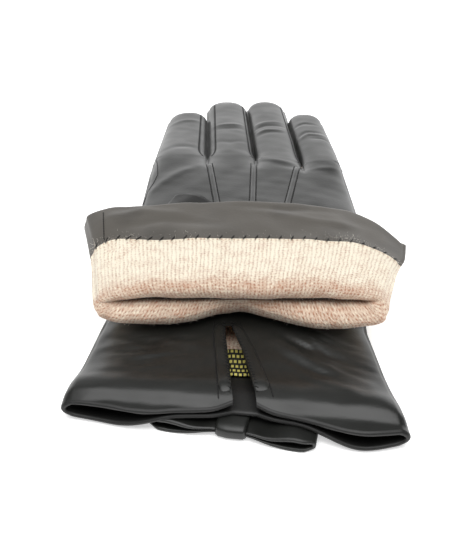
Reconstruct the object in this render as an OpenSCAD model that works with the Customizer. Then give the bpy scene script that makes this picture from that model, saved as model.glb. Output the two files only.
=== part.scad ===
// A pair of lined leather dress gloves, laid palm to palm.
// The left glove lies palm up on the table with its cuff straight.
// The right glove lies on it, back up, with its cuff turned back over the wrist.

/* [Hand] */
// Length from the cuff's mouth to the finger bases
hand_len = 155; // [140:1:180]
// Sideways shift of the palm from the middle of the cuff
hand_shift = 5.5; // [0:0.5:8]
// Thickness of the lower glove's hand, pressed by the glove on it
lower_h = 9.6; // [9.6:0.1:14]
// Thickness of the upper glove's hand
upper_h = 12.3; // [11.5:0.1:16]

/* [Fingers] */
// Width of the index finger at its base
index_w = 22.5; // [18:0.5:28]
// Width of the middle finger at its base
middle_w = 21.5; // [18:0.5:27]
// Width of the ring finger at its base
ring_w = 20.5; // [17:0.5:26]
// Width of the little finger at its base
little_w = 18.5; // [16:0.5:24]
// Length of the index finger
index_len = 70; // [50:1:90]
// Length of the middle finger
middle_len = 86; // [60:1:105]
// Length of the ring finger
ring_len = 86; // [60:1:105]
// Length of the little finger
little_len = 66; // [45:1:85]
// How much narrower a finger is near its tip than at its base
finger_taper = 4; // [1:0.5:6]
// Gap between two fingers
finger_gap = 0.8; // [0.5:0.1:2]
// Thickness of an upper finger at its tip
tip_h = 10.3; // [9.6:0.1:12]

/* [Thumbs] */
// Width of a thumb stall, pressed flat
thumb_w = 26; // [20:1:30]
// Length of a thumb stall from its round base
thumb_len = 58; // [45:1:60]
// Thickness of a thumb stall, pressed flat between the palms
thumb_h = 3.6; // [3.2:0.1:4.2]

/* [Cuff] */
// Flat width of the cuff at its mouth
mouth_w = 106; // [92:1:130]
// Flat width at the wrist, where the upper glove is folded
wrist_w = 89; // [82:1:96]
// Length of cuff that is turned back
turn_len = 49; // [42:1:60]
// Width of the roll where the upper cuff turns back
roll_w = 99; // [95:1:120]
// Length of the wrist between the roll and the full width of the palm
wrist_len = 56; // [45:1:65]
// Sideways shift of the turned-back hem from the middle of the cuff
hem_x = 3.8; // [2:0.1:6]
// Width of the turned-back hem
hem_w = 122; // [112:1:146]
// Depth of the leather facing sewn inside the mouth
facing_w = 26; // [18:1:34]
// Angle of the lower glove's mouth across the glove
mouth_slant = 6.4; // [0:0.2:8]
// Angle of the upper glove's hem across the glove
hem_slant = 3; // [0:0.2:5]
// Length of the vent in the palm side of the cuff
vent_len = 42; // [30:1:44]
// Width of the vent at the mouth
vent_w = 8; // [5:0.5:12]
// Width of the leather that binds the vent
vent_edge = 2; // [1.5:0.1:3]
// Sideways shift of the lower vent at the mouth
vent_x = 3.5; // [0:0.5:6]
// Lean of the lower vent
vent_lean = 4; // [0:0.5:6]

/* [Leather and lining] */
// Thickness of the leather
leather_t = 0.9; // [0.7:0.05:1.1]
// Thickness of the knitted lining
lining_t = 1.4; // [1.0:0.1:1.6]
// Thickness of the leather of a thumb
thumb_leather_t = 0.7; // [0.5:0.05:0.8]
// Thickness of the lining of a thumb
thumb_lining_t = 0.7; // [0.5:0.05:0.8]
// Clearance between pieces that move past each other
gap = 0.3; // [0.25:0.05:0.4]

/* [Bow] */
// Width of the bow across its two loops
bow_w = 48; // [40:1:56]
// Width of the leather strip that the loops are made of
bow_d = 16; // [12:1:20]
// Height of the bow
bow_h = 4; // [3.4:0.1:5]
// Width of the knot band
knot_w = 9.4; // [7:0.2:12]
// How much narrower the strip is where the knot holds it
bow_pinch = 4; // [2:0.5:6]
// Angle of the upper bow across its cuff
bow_tilt = 12; // [0:1:15]

/* [Trim] */
// Length of the raised points on the back
point_len = 44; // [30:1:50]
// Width of one raised point
point_w = 2.4; // [1.5:0.1:3.5]
// Height of a raised point
point_h = 0.35; // [0.2:0.05:0.6]
// Spacing of the overcast stitches
stitch_step = 3.5; // [2.5:0.1:5]
// Length of an overcast stitch
stitch_len = 3; // [2:0.1:4]
// Thickness of the sewing thread
thread_t = 0.5; // [0.3:0.05:0.7]
// Slant of the overcast stitches
stitch_slant = 12; // [0:1:30]
// Length of the woven label
label_w = 17; // [10:1:24]
// Width of the woven label
label_d = 14; // [8:1:18]
// Thickness of the woven label
label_t = 0.4; // [0.2:0.1:0.8]

/* [Hidden] */

$fn = 48;
INDEX = 0;
MIDDLE = 1;
RING = 2;
LITTLE = 3;
LEFT = -1;
RIGHT = 1;
FINGERS = [INDEX, MIDDLE, RING, LITTLE];

// Cut depth past a face, and a size larger than any piece
past = 1;
far = 400;

// How far a shape runs on before a slanted cut takes it off
run_on = 8;
// Room kept round the two thumbs, and past their tips for their swing
thumb_room = 8;
swing_room = 12;
// Step up from the lower fingers to the upper ones
finger_lift = 0.8;
// Share of the upper hand's height up to which the cuff's tray reaches
split_share = 0.55;

wall = leather_t + lining_t;
thumb_wall = thumb_leather_t + thumb_lining_t;
seam_in = leather_t + 0.7;
// Least distance of a fourchette from the middle of its finger
fourchette_in = 2;
// Distance of a stitch row's ends from the sides of the cuff
row_in = 5;

// Fingers side by side across the hand
widths = [index_w, middle_w, ring_w, little_w];
lengths = [index_len, middle_len, ring_len, little_len];
hand_w = index_w + middle_w + ring_w + little_w + 3 * finger_gap;
hand_left = hand_shift - hand_w / 2;
function width_before(f) = f == 0 ? 0 : width_before(f - 1) + widths[f - 1] + finger_gap;
function finger_x(f) = hand_left + width_before(f) + widths[f] / 2;
function tip_w(f) = widths[f] - finger_taper;
longest = max(lengths);

// Where the cuff ends and the palm begins, along the glove
fold_y = turn_len - 5;
palm_y = fold_y + wrist_len;
hem_y = fold_y + turn_len;
// Depth of the rounded roll before the fold
lip_d = 3;

// Half width and middle of the hand at a place along it
function half(y) = lookup(y, [[0, mouth_w / 2], [fold_y, wrist_w / 2],
                              [palm_y, hand_w / 2], [far, hand_w / 2]]);
function middle(y) = lookup(y, [[0, 0], [fold_y, hand_shift * 0.3],
                                [palm_y, hand_shift], [far, hand_shift]]);

// Heights of the stack, from the table up
thumb_layer_z = lower_h - wall;
lower_thumb_z = thumb_layer_z + gap;
upper_thumb_z = lower_thumb_z + thumb_h + gap;
thumb_top_z = upper_thumb_z + thumb_h + gap;
under_z = lower_h + gap;
upper_z = under_z + wall + gap;
top_z = upper_z + upper_h;
finger_z = lower_h + finger_lift;
flap_z = top_z + gap;
flap_hem_z = flap_z + bow_h;
flap_top_z = flap_z + wall;
split_z = upper_z + upper_h * split_share;

// Thumb hinges, near the index side of the palm
thumb_x = hand_left + thumb_w / 2 + 1.5;
thumb_y = palm_y + thumb_w / 2 - 4;

// Bow angle on the lower glove follows its slanted mouth
bow_front = bow_d / 2 * cos(mouth_slant) + bow_w / 2 * sin(mouth_slant);

// Middle of the roll
roll_x = middle(fold_y) + 0.5;

// The origin stands under the middle of the pair
mid_x = hem_x;
mid_y = (hand_len + gap + longest - bow_front) / 2;

BLACK = "#2b2b2a";
GREY = "#6a6b67";
FACING = "#5d5e5a";
KNIT = "#e6d5b8";
THREAD = "#1b1b1b";
GOLD = "#b3a452";

// ---- shared shapes ------------------------------------------------------

module place() translate([-mid_x, -mid_y, 0]) children();

// Outline of the hand from y0 to y1, drawn in by n
module hand_plan(y0, y1, n) {
    ys = concat([y0], [for (y = [fold_y, palm_y]) if (y > y0 && y < y1) y], [y1]);
    last = len(ys) - 1;
    polygon(concat(
        [for (y = ys) [middle(y) - half(y) + n, y]],
        [for (i = [last : -1 : 0]) [middle(ys[i]) + half(ys[i]) - n, ys[i]]]));
}

module slab(z0, z1) translate([0, 0, z0]) linear_extrude(z1 - z0) children();

// What lies between two slanted lines across the glove
module across(x, y0, y1, slant)
    translate([x, 0, 0]) rotate([0, 0, -slant])
        translate([-far, y0, -far / 2]) cube([2 * far, y1 - y0, far]);

// Profile drawn in the Y-Z plane and extruded along X
module along_x(x0, x1)
    translate([x0, 0, 0]) rotate([90, 0, 90]) linear_extrude(x1 - x0) children();

// Space that the two thumbs take out of a palm, drawn out by n
module thumb_space(z0, z1, n)
    translate([hand_left - far / 4, palm_y - thumb_room - n, z0])
        cube([far / 4 + thumb_w + thumb_room + n,
              thumb_len + thumb_w / 2 + swing_room + 2 * n, z1 - z0]);

// ---- fingers and thumbs -------------------------------------------------

// One finger in its own frame: base at y = 0, drawn in by n
module finger_solid(f, z0, base_z, tip_z, n) {
    r = tip_w(f) / 2;
    back = n > 0 ? -past : 0;
    intersection() {
        slab(z0 - past, base_z + past)
            polygon(concat([[-widths[f] / 2 + n, back]],
                [for (a = [180 : -15 : 0]) [(r - n) * cos(a), lengths[f] - r + (r - n) * sin(a)]],
                [[widths[f] / 2 - n, back]]));
        along_x(-far / 4, far / 4)
            polygon([[back, z0 + n], [lengths[f], z0 + n],
                     [lengths[f], tip_z - n], [back, base_z - n]]);
    }
}

// Strip along one side of a finger, where its fourchette is sewn in
module fourchette_zone(f, z0, base_z, tip_z, side)
    intersection() {
        along_x(side > 0 ? fourchette_in : -far / 4, side > 0 ? far / 4 : -fourchette_in)
            polygon([[-past, z0 + seam_in], [lengths[f] - tip_w(f) / 2, z0 + seam_in],
                     [lengths[f] - tip_w(f) / 2, tip_z - seam_in], [-past, base_z - seam_in]]);
        translate([-far / 2, -past, 0]) cube(far);
    }

function sides(f) = f == INDEX ? [RIGHT] : f == LITTLE ? [LEFT] : [LEFT, RIGHT];

module finger_shell(f, z0, base_z, tip_z)
    difference() {
        finger_solid(f, z0, base_z, tip_z, 0);
        finger_solid(f, z0, base_z, tip_z, leather_t);
    }

module finger_leather(f, z0, base_z, tip_z)
    difference() {
        finger_shell(f, z0, base_z, tip_z);
        for (side = sides(f)) fourchette_zone(f, z0, base_z, tip_z, side);
    }

module finger_fourchettes(f, z0, base_z, tip_z)
    for (side = sides(f)) intersection() {
        finger_shell(f, z0, base_z, tip_z);
        fourchette_zone(f, z0, base_z, tip_z, side);
    }

module finger_lining(f, z0, base_z, tip_z)
    intersection() {
        difference() {
            finger_solid(f, z0, base_z, tip_z, leather_t);
            finger_solid(f, z0, base_z, tip_z, wall);
        }
        translate([-far / 2, 0, 0]) cube(far);
    }

module at_lower_finger(f) place() translate([finger_x(f), hand_len, 0]) children();
module at_upper_finger(f) place() translate([finger_x(f), hand_len + gap, 0]) children();

// Thumb stall lying flat, its round base centred on the hinge
module thumb_solid(n) {
    r = thumb_w / 2 - n;
    slab(n, thumb_h - n) {
        circle(r = r);
        translate([-r, 0]) square([2 * r, thumb_len - thumb_w]);
        translate([0, thumb_len - thumb_w]) circle(r = r);
    }
}

module thumb_leather(z)
    color(BLACK) place() translate([thumb_x, thumb_y, z]) difference() {
        thumb_solid(0);
        thumb_solid(thumb_leather_t);
    }

module thumb_lining(z)
    color(KNIT) place() translate([thumb_x, thumb_y, z]) difference() {
        thumb_solid(thumb_leather_t);
        thumb_solid(thumb_wall);
    }

// ---- bow ----------------------------------------------------------------

// Two flat loops joined by a pinched bar, lying on z = 0
module bow_loops() {
    for (side = [LEFT, RIGHT]) difference() {
        translate([side * (bow_w + knot_w) / 4, 0, bow_h / 2])
            cube([(bow_w - knot_w) / 2, bow_d, bow_h], center = true);
        translate([side * (bow_w + knot_w) / 4, 0, bow_h / 2])
            cube([(bow_w - knot_w) / 2 - 2 * leather_t, bow_d + past, bow_h - 2 * leather_t],
                 center = true);
    }
    translate([0, 0, bow_h / 2]) cube([knot_w, bow_d - bow_pinch, bow_h - 2 * leather_t], center = true);
}

// Band round the pinched bar
module bow_knot()
    difference() {
        translate([0, 0, bow_h / 2]) cube([knot_w, bow_d - bow_pinch + 2 * leather_t, bow_h], center = true);
        translate([0, 0, bow_h / 2])
            cube([knot_w + past, bow_d - bow_pinch, bow_h - 2 * leather_t], center = true);
    }

// Place where the lower bow lies under the cuff, drawn out by n
module bow_bed(n)
    rotate([0, 0, -mouth_slant])
        translate([-bow_w / 2 - gap - n, -far / 4, -past])
            cube([bow_w + 2 * (gap + n), far / 4 + bow_d / 2 + gap + n, past + bow_h + n]);

module at_lower_bow() place() rotate([0, 0, -mouth_slant]) children();
module at_upper_bow()
    place() translate([hem_x - 2.5, hem_y, flap_z]) rotate([0, 0, -bow_tilt]) children();

// ---- vent ---------------------------------------------------------------

// Wedge of the vent, drawn out by n: apex inwards, wide at the mouth
module vent_plan(n)
    polygon([[-vent_w / 2 - n, -run_on], [vent_w / 2 + n, -run_on],
             [1 + n, vent_len + n], [-1 - n, vent_len + n]]);

module at_lower_vent()
    translate([middle(0) + vent_x, 0, 0]) rotate([0, 0, vent_lean]) children();
module at_upper_vent() translate([hem_x - 1, hem_y, 0]) rotate([0, 0, 180]) children();

// ---- lower glove --------------------------------------------------------

module lower_solid(n)
    slab(n, lower_h - n) hand_plan(-run_on, hand_len + (n > 0 ? past : 0), n);

module lower_vent_cut(n)
    at_lower_vent() slab(lower_h / 2, lower_h + past) vent_plan(n);

// Skin of the lower hand from depth n0 to depth n1, open at both ends
module lower_skin(n0, n1)
    difference() {
        lower_solid(n0);
        bow_bed(n0);
        thumb_space(thumb_layer_z - n0, far, n0);
        difference() {
            lower_solid(n1);
            bow_bed(n1);
            thumb_space(thumb_layer_z - n1, far, n1);
        }
        lower_vent_cut(vent_edge);
    }

module behind_mouth(y0, y1)
    intersection() {
        children();
        across(0, y0, y1, mouth_slant);
    }

module lower_trank()
    color(BLACK) place() difference() {
        behind_mouth(0, far) lower_skin(0, leather_t);
        point_strips(0);
    }

module lower_finger(f)
    color(BLACK) at_lower_finger(f) finger_leather(f, 0, lower_h, lower_h);

module lower_fourchettes()
    color(BLACK) for (f = FINGERS)
        at_lower_finger(f) finger_fourchettes(f, 0, lower_h, lower_h);

module lower_lining()
    color(KNIT) union() {
        place() intersection() {
            behind_mouth(facing_w, far) lower_skin(leather_t, wall);
            translate([-far / 2, 0, -past]) cube([far, hand_len, far]);
        }
        for (f = FINGERS) at_lower_finger(f) finger_lining(f, 0, lower_h, lower_h);
    }

module lower_facing()
    color(BLACK) place() behind_mouth(0, facing_w)
        lower_skin(leather_t, leather_t + leather_t);

// Overcast stitches along the inner edge of the facing, lying on height z
module stitch_row(width, y, z)
    for (x = [-width / 2 + row_in : stitch_step : width / 2 - row_in])
        translate([x, y, z + thread_t / 2]) rotate([0, 0, stitch_slant])
            cube([thread_t, stitch_len, thread_t], center = true);

module lower_facing_stitches()
    color(THREAD) place() rotate([0, 0, -mouth_slant])
        stitch_row(2 * half(facing_w), facing_w + stitch_len / 2, wall);

module lower_vent_binding()
    color(BLACK) place() behind_mouth(0, far) intersection() {
        at_lower_vent() slab(lower_h - wall, lower_h + gap / 2) difference() {
            vent_plan(vent_edge);
            vent_plan(0);
        }
        slab(0, far) hand_plan(-run_on, hand_len, 0);
    }

// Woven label on the facing and lining, seen through the vent
module lower_label()
    color(GOLD) place() rotate([0, 0, -mouth_slant])
        translate([vent_x - label_w / 2, facing_w + stitch_len + gap, wall])
            cube([label_w, label_d, label_t]);

// ---- points -------------------------------------------------------------

// Three raised points run from the finger gaps and draw together at the wrist
point_turns = [0, 5.5, -1.7, -7.5];
module point_strips(z)
    for (f = [MIDDLE, RING, LITTLE])
        translate([finger_x(f) - widths[f] / 2 - finger_gap / 2, hand_len - 6, z])
            rotate([0, 0, point_turns[f]])
                translate([-point_w / 2, -point_len, 0]) cube([point_w, point_len, point_h]);

module lower_points() color(BLACK) place() point_strips(0);
module upper_points() color(GREY) place() point_strips(top_z);

// ---- upper glove: hand --------------------------------------------------

module upper_solid(n)
    slab(upper_z + n, top_z - n)
        hand_plan(fold_y - (n > 0 ? past : 0), hand_len + (n > 0 ? past : 0), n);

module upper_skin(n0, n1)
    intersection() {
        difference() {
            upper_solid(n0);
            thumb_space(0, thumb_top_z + n0, n0);
            difference() {
                upper_solid(n1);
                thumb_space(0, thumb_top_z + n1, n1);
            }
        }
        translate([-far / 2, fold_y, 0]) cube([far, hand_len - fold_y, far]);
    }

module upper_trank() color(GREY) place() upper_skin(0, leather_t);
module upper_hand_lining() color(KNIT) place() upper_skin(leather_t, wall);

// ---- upper glove: turned-back cuff --------------------------------------

// Middle and half width of the turned cuff at a place along it
function cuff_x(y) = roll_x + (hem_x - roll_x) * (y - fold_y) / turn_len;
function cuff_half(y) = (roll_w + (hem_w - roll_w) * (y - fold_y) / turn_len) / 2;

// Outline of the turned cuff from y0 to past the hem, drawn in by n
module cuff_plan(y0, n) {
    y1 = hem_y + run_on;
    polygon([[cuff_x(y0) - cuff_half(y0) + n, y0], [cuff_x(y0) + cuff_half(y0) - n, y0],
             [cuff_x(y1) + cuff_half(y1) - n, y1], [cuff_x(y1) - cuff_half(y1) + n, y1]]);
}

// Underside of the turned cuff: a tray that goes round the wrist's palm side
module under_solid(y0, n) slab(under_z + n, far) cuff_plan(y0, n);

module under_skin(n0, n1)
    difference() {
        intersection() {
            difference() {
                under_solid(fold_y, n0);
                under_solid(fold_y - past, n1);
            }
            translate([-far / 2, 0, 0]) cube([far, far, split_z]);
        }
        at_upper_vent() slab(0, split_z) vent_plan(vent_edge);
    }

module to_hem(y0, y1)
    intersection() {
        children();
        across(hem_x, hem_y - facing_w * y1, hem_y - facing_w * y0, hem_slant);
    }

module upper_cuff_under_leather()
    color(GREY) place() to_hem(0, 9) under_skin(lining_t, wall);

module upper_facing_under()
    color(FACING) place() to_hem(0, 1) under_skin(lining_t - leather_t, lining_t);

// Lining that comes out of the wrist, turns at the roll and goes back under it
module upper_cuff_roll()
    color(KNIT) place() union() {
        to_hem(1, 9) under_skin(0, lining_t);
        difference() {
            slab(under_z, flap_top_z) polygon([
                [roll_x - roll_w / 2, fold_y], [roll_x - roll_w / 2 + lip_d, fold_y - lip_d],
                [roll_x + roll_w / 2 - lip_d, fold_y - lip_d], [roll_x + roll_w / 2, fold_y]]);
            translate([0, -past, 0]) slab(upper_z + wall, top_z - wall)
                translate([middle(fold_y) - wrist_w / 2 + wall, fold_y - 2 * lip_d])
                    square([wrist_w - 2 * wall, 4 * lip_d]);
        }
    }

module upper_vent_binding()
    color(GREY) place() to_hem(0, 9)
        at_upper_vent() slab(under_z, under_z + wall) difference() {
            vent_plan(vent_edge);
            vent_plan(0);
        }

// Back of the turned cuff: it rises over the bow towards the hem
flap_y = fold_y + gap;
rise_y = hem_y - bow_d / 2 * cos(bow_tilt) - bow_w / 2 * sin(bow_tilt) - past;
module flap_solid(n)
    intersection() {
        slab(-n, far) cuff_plan(flap_y - past - n, n);
        along_x(-far / 2, far / 2) polygon([
            [0, -n], [0, flap_top_z - n],
            [flap_y, flap_top_z - n], [rise_y, flap_hem_z + wall - n],
            [hem_y + 2 * run_on, flap_hem_z + wall - n], [hem_y + 2 * run_on, -n]]);
    }

module flap_skin(n0, n1)
    intersection() {
        difference() {
            flap_solid(n0);
            flap_solid(n1);
        }
        translate([-far / 2, flap_y, split_z + gap]) cube(far);
    }

module upper_cuff_back_leather()
    color(GREY) place() to_hem(0, 9) flap_skin(lining_t, wall);

module upper_lining_band()
    color(KNIT) place() to_hem(1, 9) flap_skin(0, lining_t);

module upper_facing_band()
    color(FACING) place() to_hem(0, 1) flap_skin(lining_t - leather_t, lining_t);

module upper_facing_stitches()
    color(THREAD) place() translate([hem_x, hem_y, 0]) rotate([0, 0, -hem_slant])
        stitch_row(roll_w, -facing_w + stitch_len / 2, stitch_z);

// Height of the facing's skin where the stitches lie
stitch_y = hem_y - facing_w + stitch_len;
rise = (flap_hem_z + wall - flap_top_z) / (rise_y - flap_y);
stitch_z = flap_top_z + rise * (stitch_y - flap_y);

// ---- assembly -----------------------------------------------------------

module upper_finger_leather(f)
    color(GREY) at_upper_finger(f) finger_leather(f, finger_z, top_z, finger_z + tip_h);
module upper_finger_fourchettes(f)
    color(GREY) at_upper_finger(f) finger_fourchettes(f, finger_z, top_z, finger_z + tip_h);
module upper_finger_lining(f)
    color(KNIT) at_upper_finger(f) finger_lining(f, finger_z, top_z, finger_z + tip_h);

lower_trank();
lower_finger(INDEX);  // lower_index_leather
lower_finger(MIDDLE);  // lower_middle_leather
lower_finger(RING);  // lower_ring_leather
lower_finger(LITTLE);  // lower_little_leather
lower_fourchettes();
lower_lining();
lower_facing();
lower_facing_stitches();
lower_vent_binding();
lower_label();
lower_points();
color(BLACK) at_lower_bow() bow_loops();  // lower_bow_loops
color(BLACK) at_lower_bow() bow_knot();  // lower_bow_knot
thumb_leather(lower_thumb_z);  // lower_thumb_leather
thumb_lining(lower_thumb_z);  // lower_thumb_lining
upper_trank();
upper_hand_lining();
upper_cuff_roll();
upper_cuff_under_leather();
upper_facing_under();
upper_vent_binding();
upper_points();
thumb_leather(upper_thumb_z);  // upper_thumb_leather
thumb_lining(upper_thumb_z);  // upper_thumb_lining
upper_finger_leather(INDEX);  // upper_index_leather
upper_finger_fourchettes(INDEX);  // upper_index_fourchette
upper_finger_lining(INDEX);  // upper_index_lining
upper_finger_leather(MIDDLE);  // upper_middle_leather
upper_finger_fourchettes(MIDDLE);  // upper_middle_fourchettes
upper_finger_lining(MIDDLE);  // upper_middle_lining
upper_finger_leather(RING);  // upper_ring_leather
upper_finger_fourchettes(RING);  // upper_ring_fourchettes
upper_finger_lining(RING);  // upper_ring_lining
upper_finger_leather(LITTLE);  // upper_little_leather
upper_finger_fourchettes(LITTLE);  // upper_little_fourchette
upper_finger_lining(LITTLE);  // upper_little_lining
upper_cuff_back_leather();
upper_lining_band();
upper_facing_band();
upper_facing_stitches();
color(BLACK) at_upper_bow() bow_loops();  // upper_bow_loops
color(BLACK) at_upper_bow() bow_knot();  // upper_bow_knot
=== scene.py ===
"""A pair of lined leather dress gloves, one on the other, the upper cuff turned back."""

import logging
import math
from dataclasses import dataclass, replace
from enum import Enum
from functools import cached_property

import bmesh
import bpy
import numpy as np
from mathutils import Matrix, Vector
from mathutils.bvhtree import BVHTree

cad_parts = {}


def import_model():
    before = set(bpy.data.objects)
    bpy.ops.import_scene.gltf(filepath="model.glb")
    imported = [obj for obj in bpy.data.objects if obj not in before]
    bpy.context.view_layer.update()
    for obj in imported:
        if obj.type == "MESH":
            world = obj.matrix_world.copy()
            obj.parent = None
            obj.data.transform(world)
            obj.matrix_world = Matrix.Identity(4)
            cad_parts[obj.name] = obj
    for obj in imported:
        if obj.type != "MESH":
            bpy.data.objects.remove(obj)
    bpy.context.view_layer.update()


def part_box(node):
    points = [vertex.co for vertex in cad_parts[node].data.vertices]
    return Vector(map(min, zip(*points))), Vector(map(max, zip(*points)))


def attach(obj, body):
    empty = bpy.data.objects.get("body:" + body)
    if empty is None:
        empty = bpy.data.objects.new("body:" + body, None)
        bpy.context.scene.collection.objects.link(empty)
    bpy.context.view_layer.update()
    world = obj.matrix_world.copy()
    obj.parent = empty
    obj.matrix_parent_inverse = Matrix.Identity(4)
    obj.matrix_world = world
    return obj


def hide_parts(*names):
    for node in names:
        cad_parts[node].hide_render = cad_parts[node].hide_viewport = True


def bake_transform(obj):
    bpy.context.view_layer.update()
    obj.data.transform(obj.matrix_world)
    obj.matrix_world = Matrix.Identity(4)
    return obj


MM = 0.001
MATHS = "ShaderNodeMath"
log = logging.getLogger("gloves")

Point = tuple[float, float, float]
Plan = tuple[float, float]
Shape = tuple[np.ndarray, np.ndarray]


class Slot(Enum):
    """The material groups that a buyer may recolour."""

    NAPPA = "nappa_leather"
    FACING = "facing_leather"
    LINING = "knit_lining"
    THREAD = "thread"
    LABEL = "label"


# ---- small helpers ----------------------------------------------------------


def linear(colour: str) -> tuple[float, float, float, float]:
    """Turn an sRGB hex colour into linear values.

    Args:
        colour: Six hex digits, with or without a leading sign.

    Returns:
        Red, green, blue and alpha, linear.
    """
    digits = colour.lstrip("#")
    parts = [int(digits[i:i + 2], 16) / 255 for i in (0, 2, 4)]
    return (*[c / 12.92 if c <= 0.04045 else ((c + 0.055) / 1.055) ** 2.4 for c in parts], 1.0)


def ease(t: np.ndarray | float) -> np.ndarray:
    """Return t held to 0..1 and eased at both ends."""
    t = np.clip(t, 0.0, 1.0)
    return t * t * (3 - 2 * t)


def superellipse(u: np.ndarray, power: float, round_off: float) -> np.ndarray:
    """Return the height, 0 to 1, of a pressed tube's crown at the share u of its half width."""
    return np.clip(1 - np.abs(u) ** power, 0, 1) ** (1 / round_off)


def squared_round(turns: np.ndarray, across: float, up: float) -> Shape:
    """Return both coordinates, up to 1, of a round with squared shoulders.

    Args:
        turns: Angles, in radians.
        across: Power of the first coordinate: the smaller, the squarer.
        up: Power of the second coordinate.

    Returns:
        First and second coordinate at each angle.
    """
    cos, sin = np.cos(turns), np.sin(turns)
    return np.sign(cos) * np.abs(cos) ** across, np.sign(sin) * np.abs(sin) ** up


def waves(x: np.ndarray, y: np.ndarray, seed: int, longest: float, shortest: float,
          count: int = 14) -> np.ndarray:
    """Add up seeded plane waves to an even ripple of about unit height.

    Args:
        x: Places across, in mm.
        y: Places along, in mm.
        seed: Seed of the directions and phases.
        longest: Longest wave, in mm.
        shortest: Shortest wave, in mm.
        count: Number of waves.

    Returns:
        The ripple at each place.
    """
    rng = np.random.default_rng(seed)
    total = np.zeros(np.broadcast(x, y).shape)
    for length in np.geomspace(longest, shortest, count):
        turn, phase = rng.uniform(0, 2 * math.pi, 2)
        share = (length / longest) ** 0.8
        total += share * np.sin(2 * math.pi / length * (x * math.cos(turn) + y * math.sin(turn)) + phase)
    return total / math.sqrt(count)


def add_node(tree: bpy.types.NodeTree, kind: str, inputs: dict | None = None,
             **settings: object) -> bpy.types.Node:
    """Add a node with its settings and links.

    Args:
        tree: The tree it goes into.
        kind: The node's type name.
        inputs: By name or index: a value, an output socket, or a node whose first output is meant.
        settings: The node's own properties.

    Returns:
        The new node.
    """
    node = tree.nodes.new(kind)
    for key, value in settings.items():
        setattr(node, key, value)
    for key, value in (inputs or {}).items():
        if isinstance(value, bpy.types.Node):
            value = value.outputs[0]
        if isinstance(value, bpy.types.NodeSocket):
            tree.links.new(value, node.inputs[key])
        else:
            node.inputs[key].default_value = value
    return node


def quads(rows: int, columns: int, closed: bool) -> np.ndarray:
    """Return the faces of a grid of points stored row by row.

    Args:
        rows: Number of rows.
        columns: Points in a row.
        closed: Whether the last column joins the first.

    Returns:
        Four indices for each face.
    """
    i, j = np.meshgrid(np.arange(rows - 1), np.arange(columns if closed else columns - 1), indexing="ij")
    k = (j + 1) % columns
    corners = [i * columns + j, i * columns + k, (i + 1) * columns + k, (i + 1) * columns + j]
    return np.stack(corners, -1).reshape(-1, 4)


def capped(rows: int, columns: int) -> list[tuple[int, ...]]:
    """Return the faces of a closed tube of points stored row by row, with a lid at each end.

    Args:
        rows: Number of rows.
        columns: Points in a row.

    Returns:
        Indices of each face.
    """
    lids = [tuple(range(columns))[::-1], tuple(range((rows - 1) * columns, rows * columns))]
    return [tuple(q) for q in quads(rows, columns, True)] + lids


def join(parts: list[Shape]) -> Shape:
    """Join several sets of points and faces into one.

    Args:
        parts: Points and faces of each part.

    Returns:
        All points and all faces.
    """
    points, faces, count = [], [], 0
    for p, f in parts:
        points.append(p)
        faces.append(np.asarray(f) + count)
        count += len(p)
    return np.concatenate(points), np.concatenate(faces)


def link(name: str, mesh: bpy.types.Mesh) -> bpy.types.Object:
    """Return a new object of the scene that holds the mesh."""
    obj = bpy.data.objects.new(name, mesh)
    bpy.context.scene.collection.objects.link(obj)
    return obj


def make_piece(name: str, points: np.ndarray, faces: list | np.ndarray, material: bpy.types.Material,
               uv: np.ndarray | None = None, marks: dict[str, np.ndarray] | None = None,
               smooth: bool = True) -> bpy.types.Object:
    """Make a mesh object whose place is in its vertices.

    Args:
        name: The piece's name.
        points: Vertices in mm.
        faces: Vertex indices of each face.
        material: The finish.
        uv: Two values for each vertex, in mm.
        marks: Float attributes by name, one value for each vertex.
        smooth: Whether it is shaded smooth.

    Returns:
        The new object.
    """
    mesh = bpy.data.meshes.new(name)
    mesh.from_pydata((np.asarray(points) * MM).tolist(), [], [list(map(int, f)) for f in faces])
    mesh.validate()
    mesh.materials.append(material)
    if uv is not None:
        layer = mesh.uv_layers.new(name="surface")
        corners = np.zeros(len(mesh.loops), np.int32)
        mesh.loops.foreach_get("vertex_index", corners)
        layer.data.foreach_set("uv", np.asarray(uv, np.float32)[corners].ravel())
    for key, values in (marks or {}).items():
        mesh.attributes.new(key, "FLOAT", "POINT").data.foreach_set("value", np.asarray(values, np.float32))
    mesh.polygons.foreach_set("use_smooth", [smooth] * len(mesh.polygons))
    return link(name, mesh)


def thicken(obj: bpy.types.Object, thickness: float) -> bpy.types.Object:
    """Give a skin its thickness, inwards.

    Args:
        obj: The skin.
        thickness: Thickness in mm.

    Returns:
        The same object.
    """
    wall = obj.modifiers.new("wall", "SOLIDIFY")
    wall.thickness = thickness * MM
    wall.offset = -1
    return obj


def settle(piece: bpy.types.Object, slot: Slot, *nodes: str, body: str = "") -> None:
    """Hide the plain nodes that a piece stands for, attach it to the body it rides, and report it.

    Args:
        piece: The finished piece.
        slot: Its material group; not used.
        nodes: The plain nodes that it replaces.
        body: The body it moves with, or nothing to leave it unattached.
    """
    if nodes:
        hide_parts(*nodes)
    if body:
        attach(piece, body)
    log.info("%s: %d faces", piece.name, len(piece.data.polygons))


# ---- finishes -----------------------------------------------------------------


def new_material(name: str) -> tuple[bpy.types.Material, bpy.types.NodeTree, bpy.types.Node]:
    """Return a new material with its tree and its shader.

    Args:
        name: The material's name.

    Returns:
        The material, its node tree and its Principled shader.
    """
    material = bpy.data.materials.new(name)
    material.use_nodes = True
    return material, material.node_tree, material.node_tree.nodes["Principled BSDF"]


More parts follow.
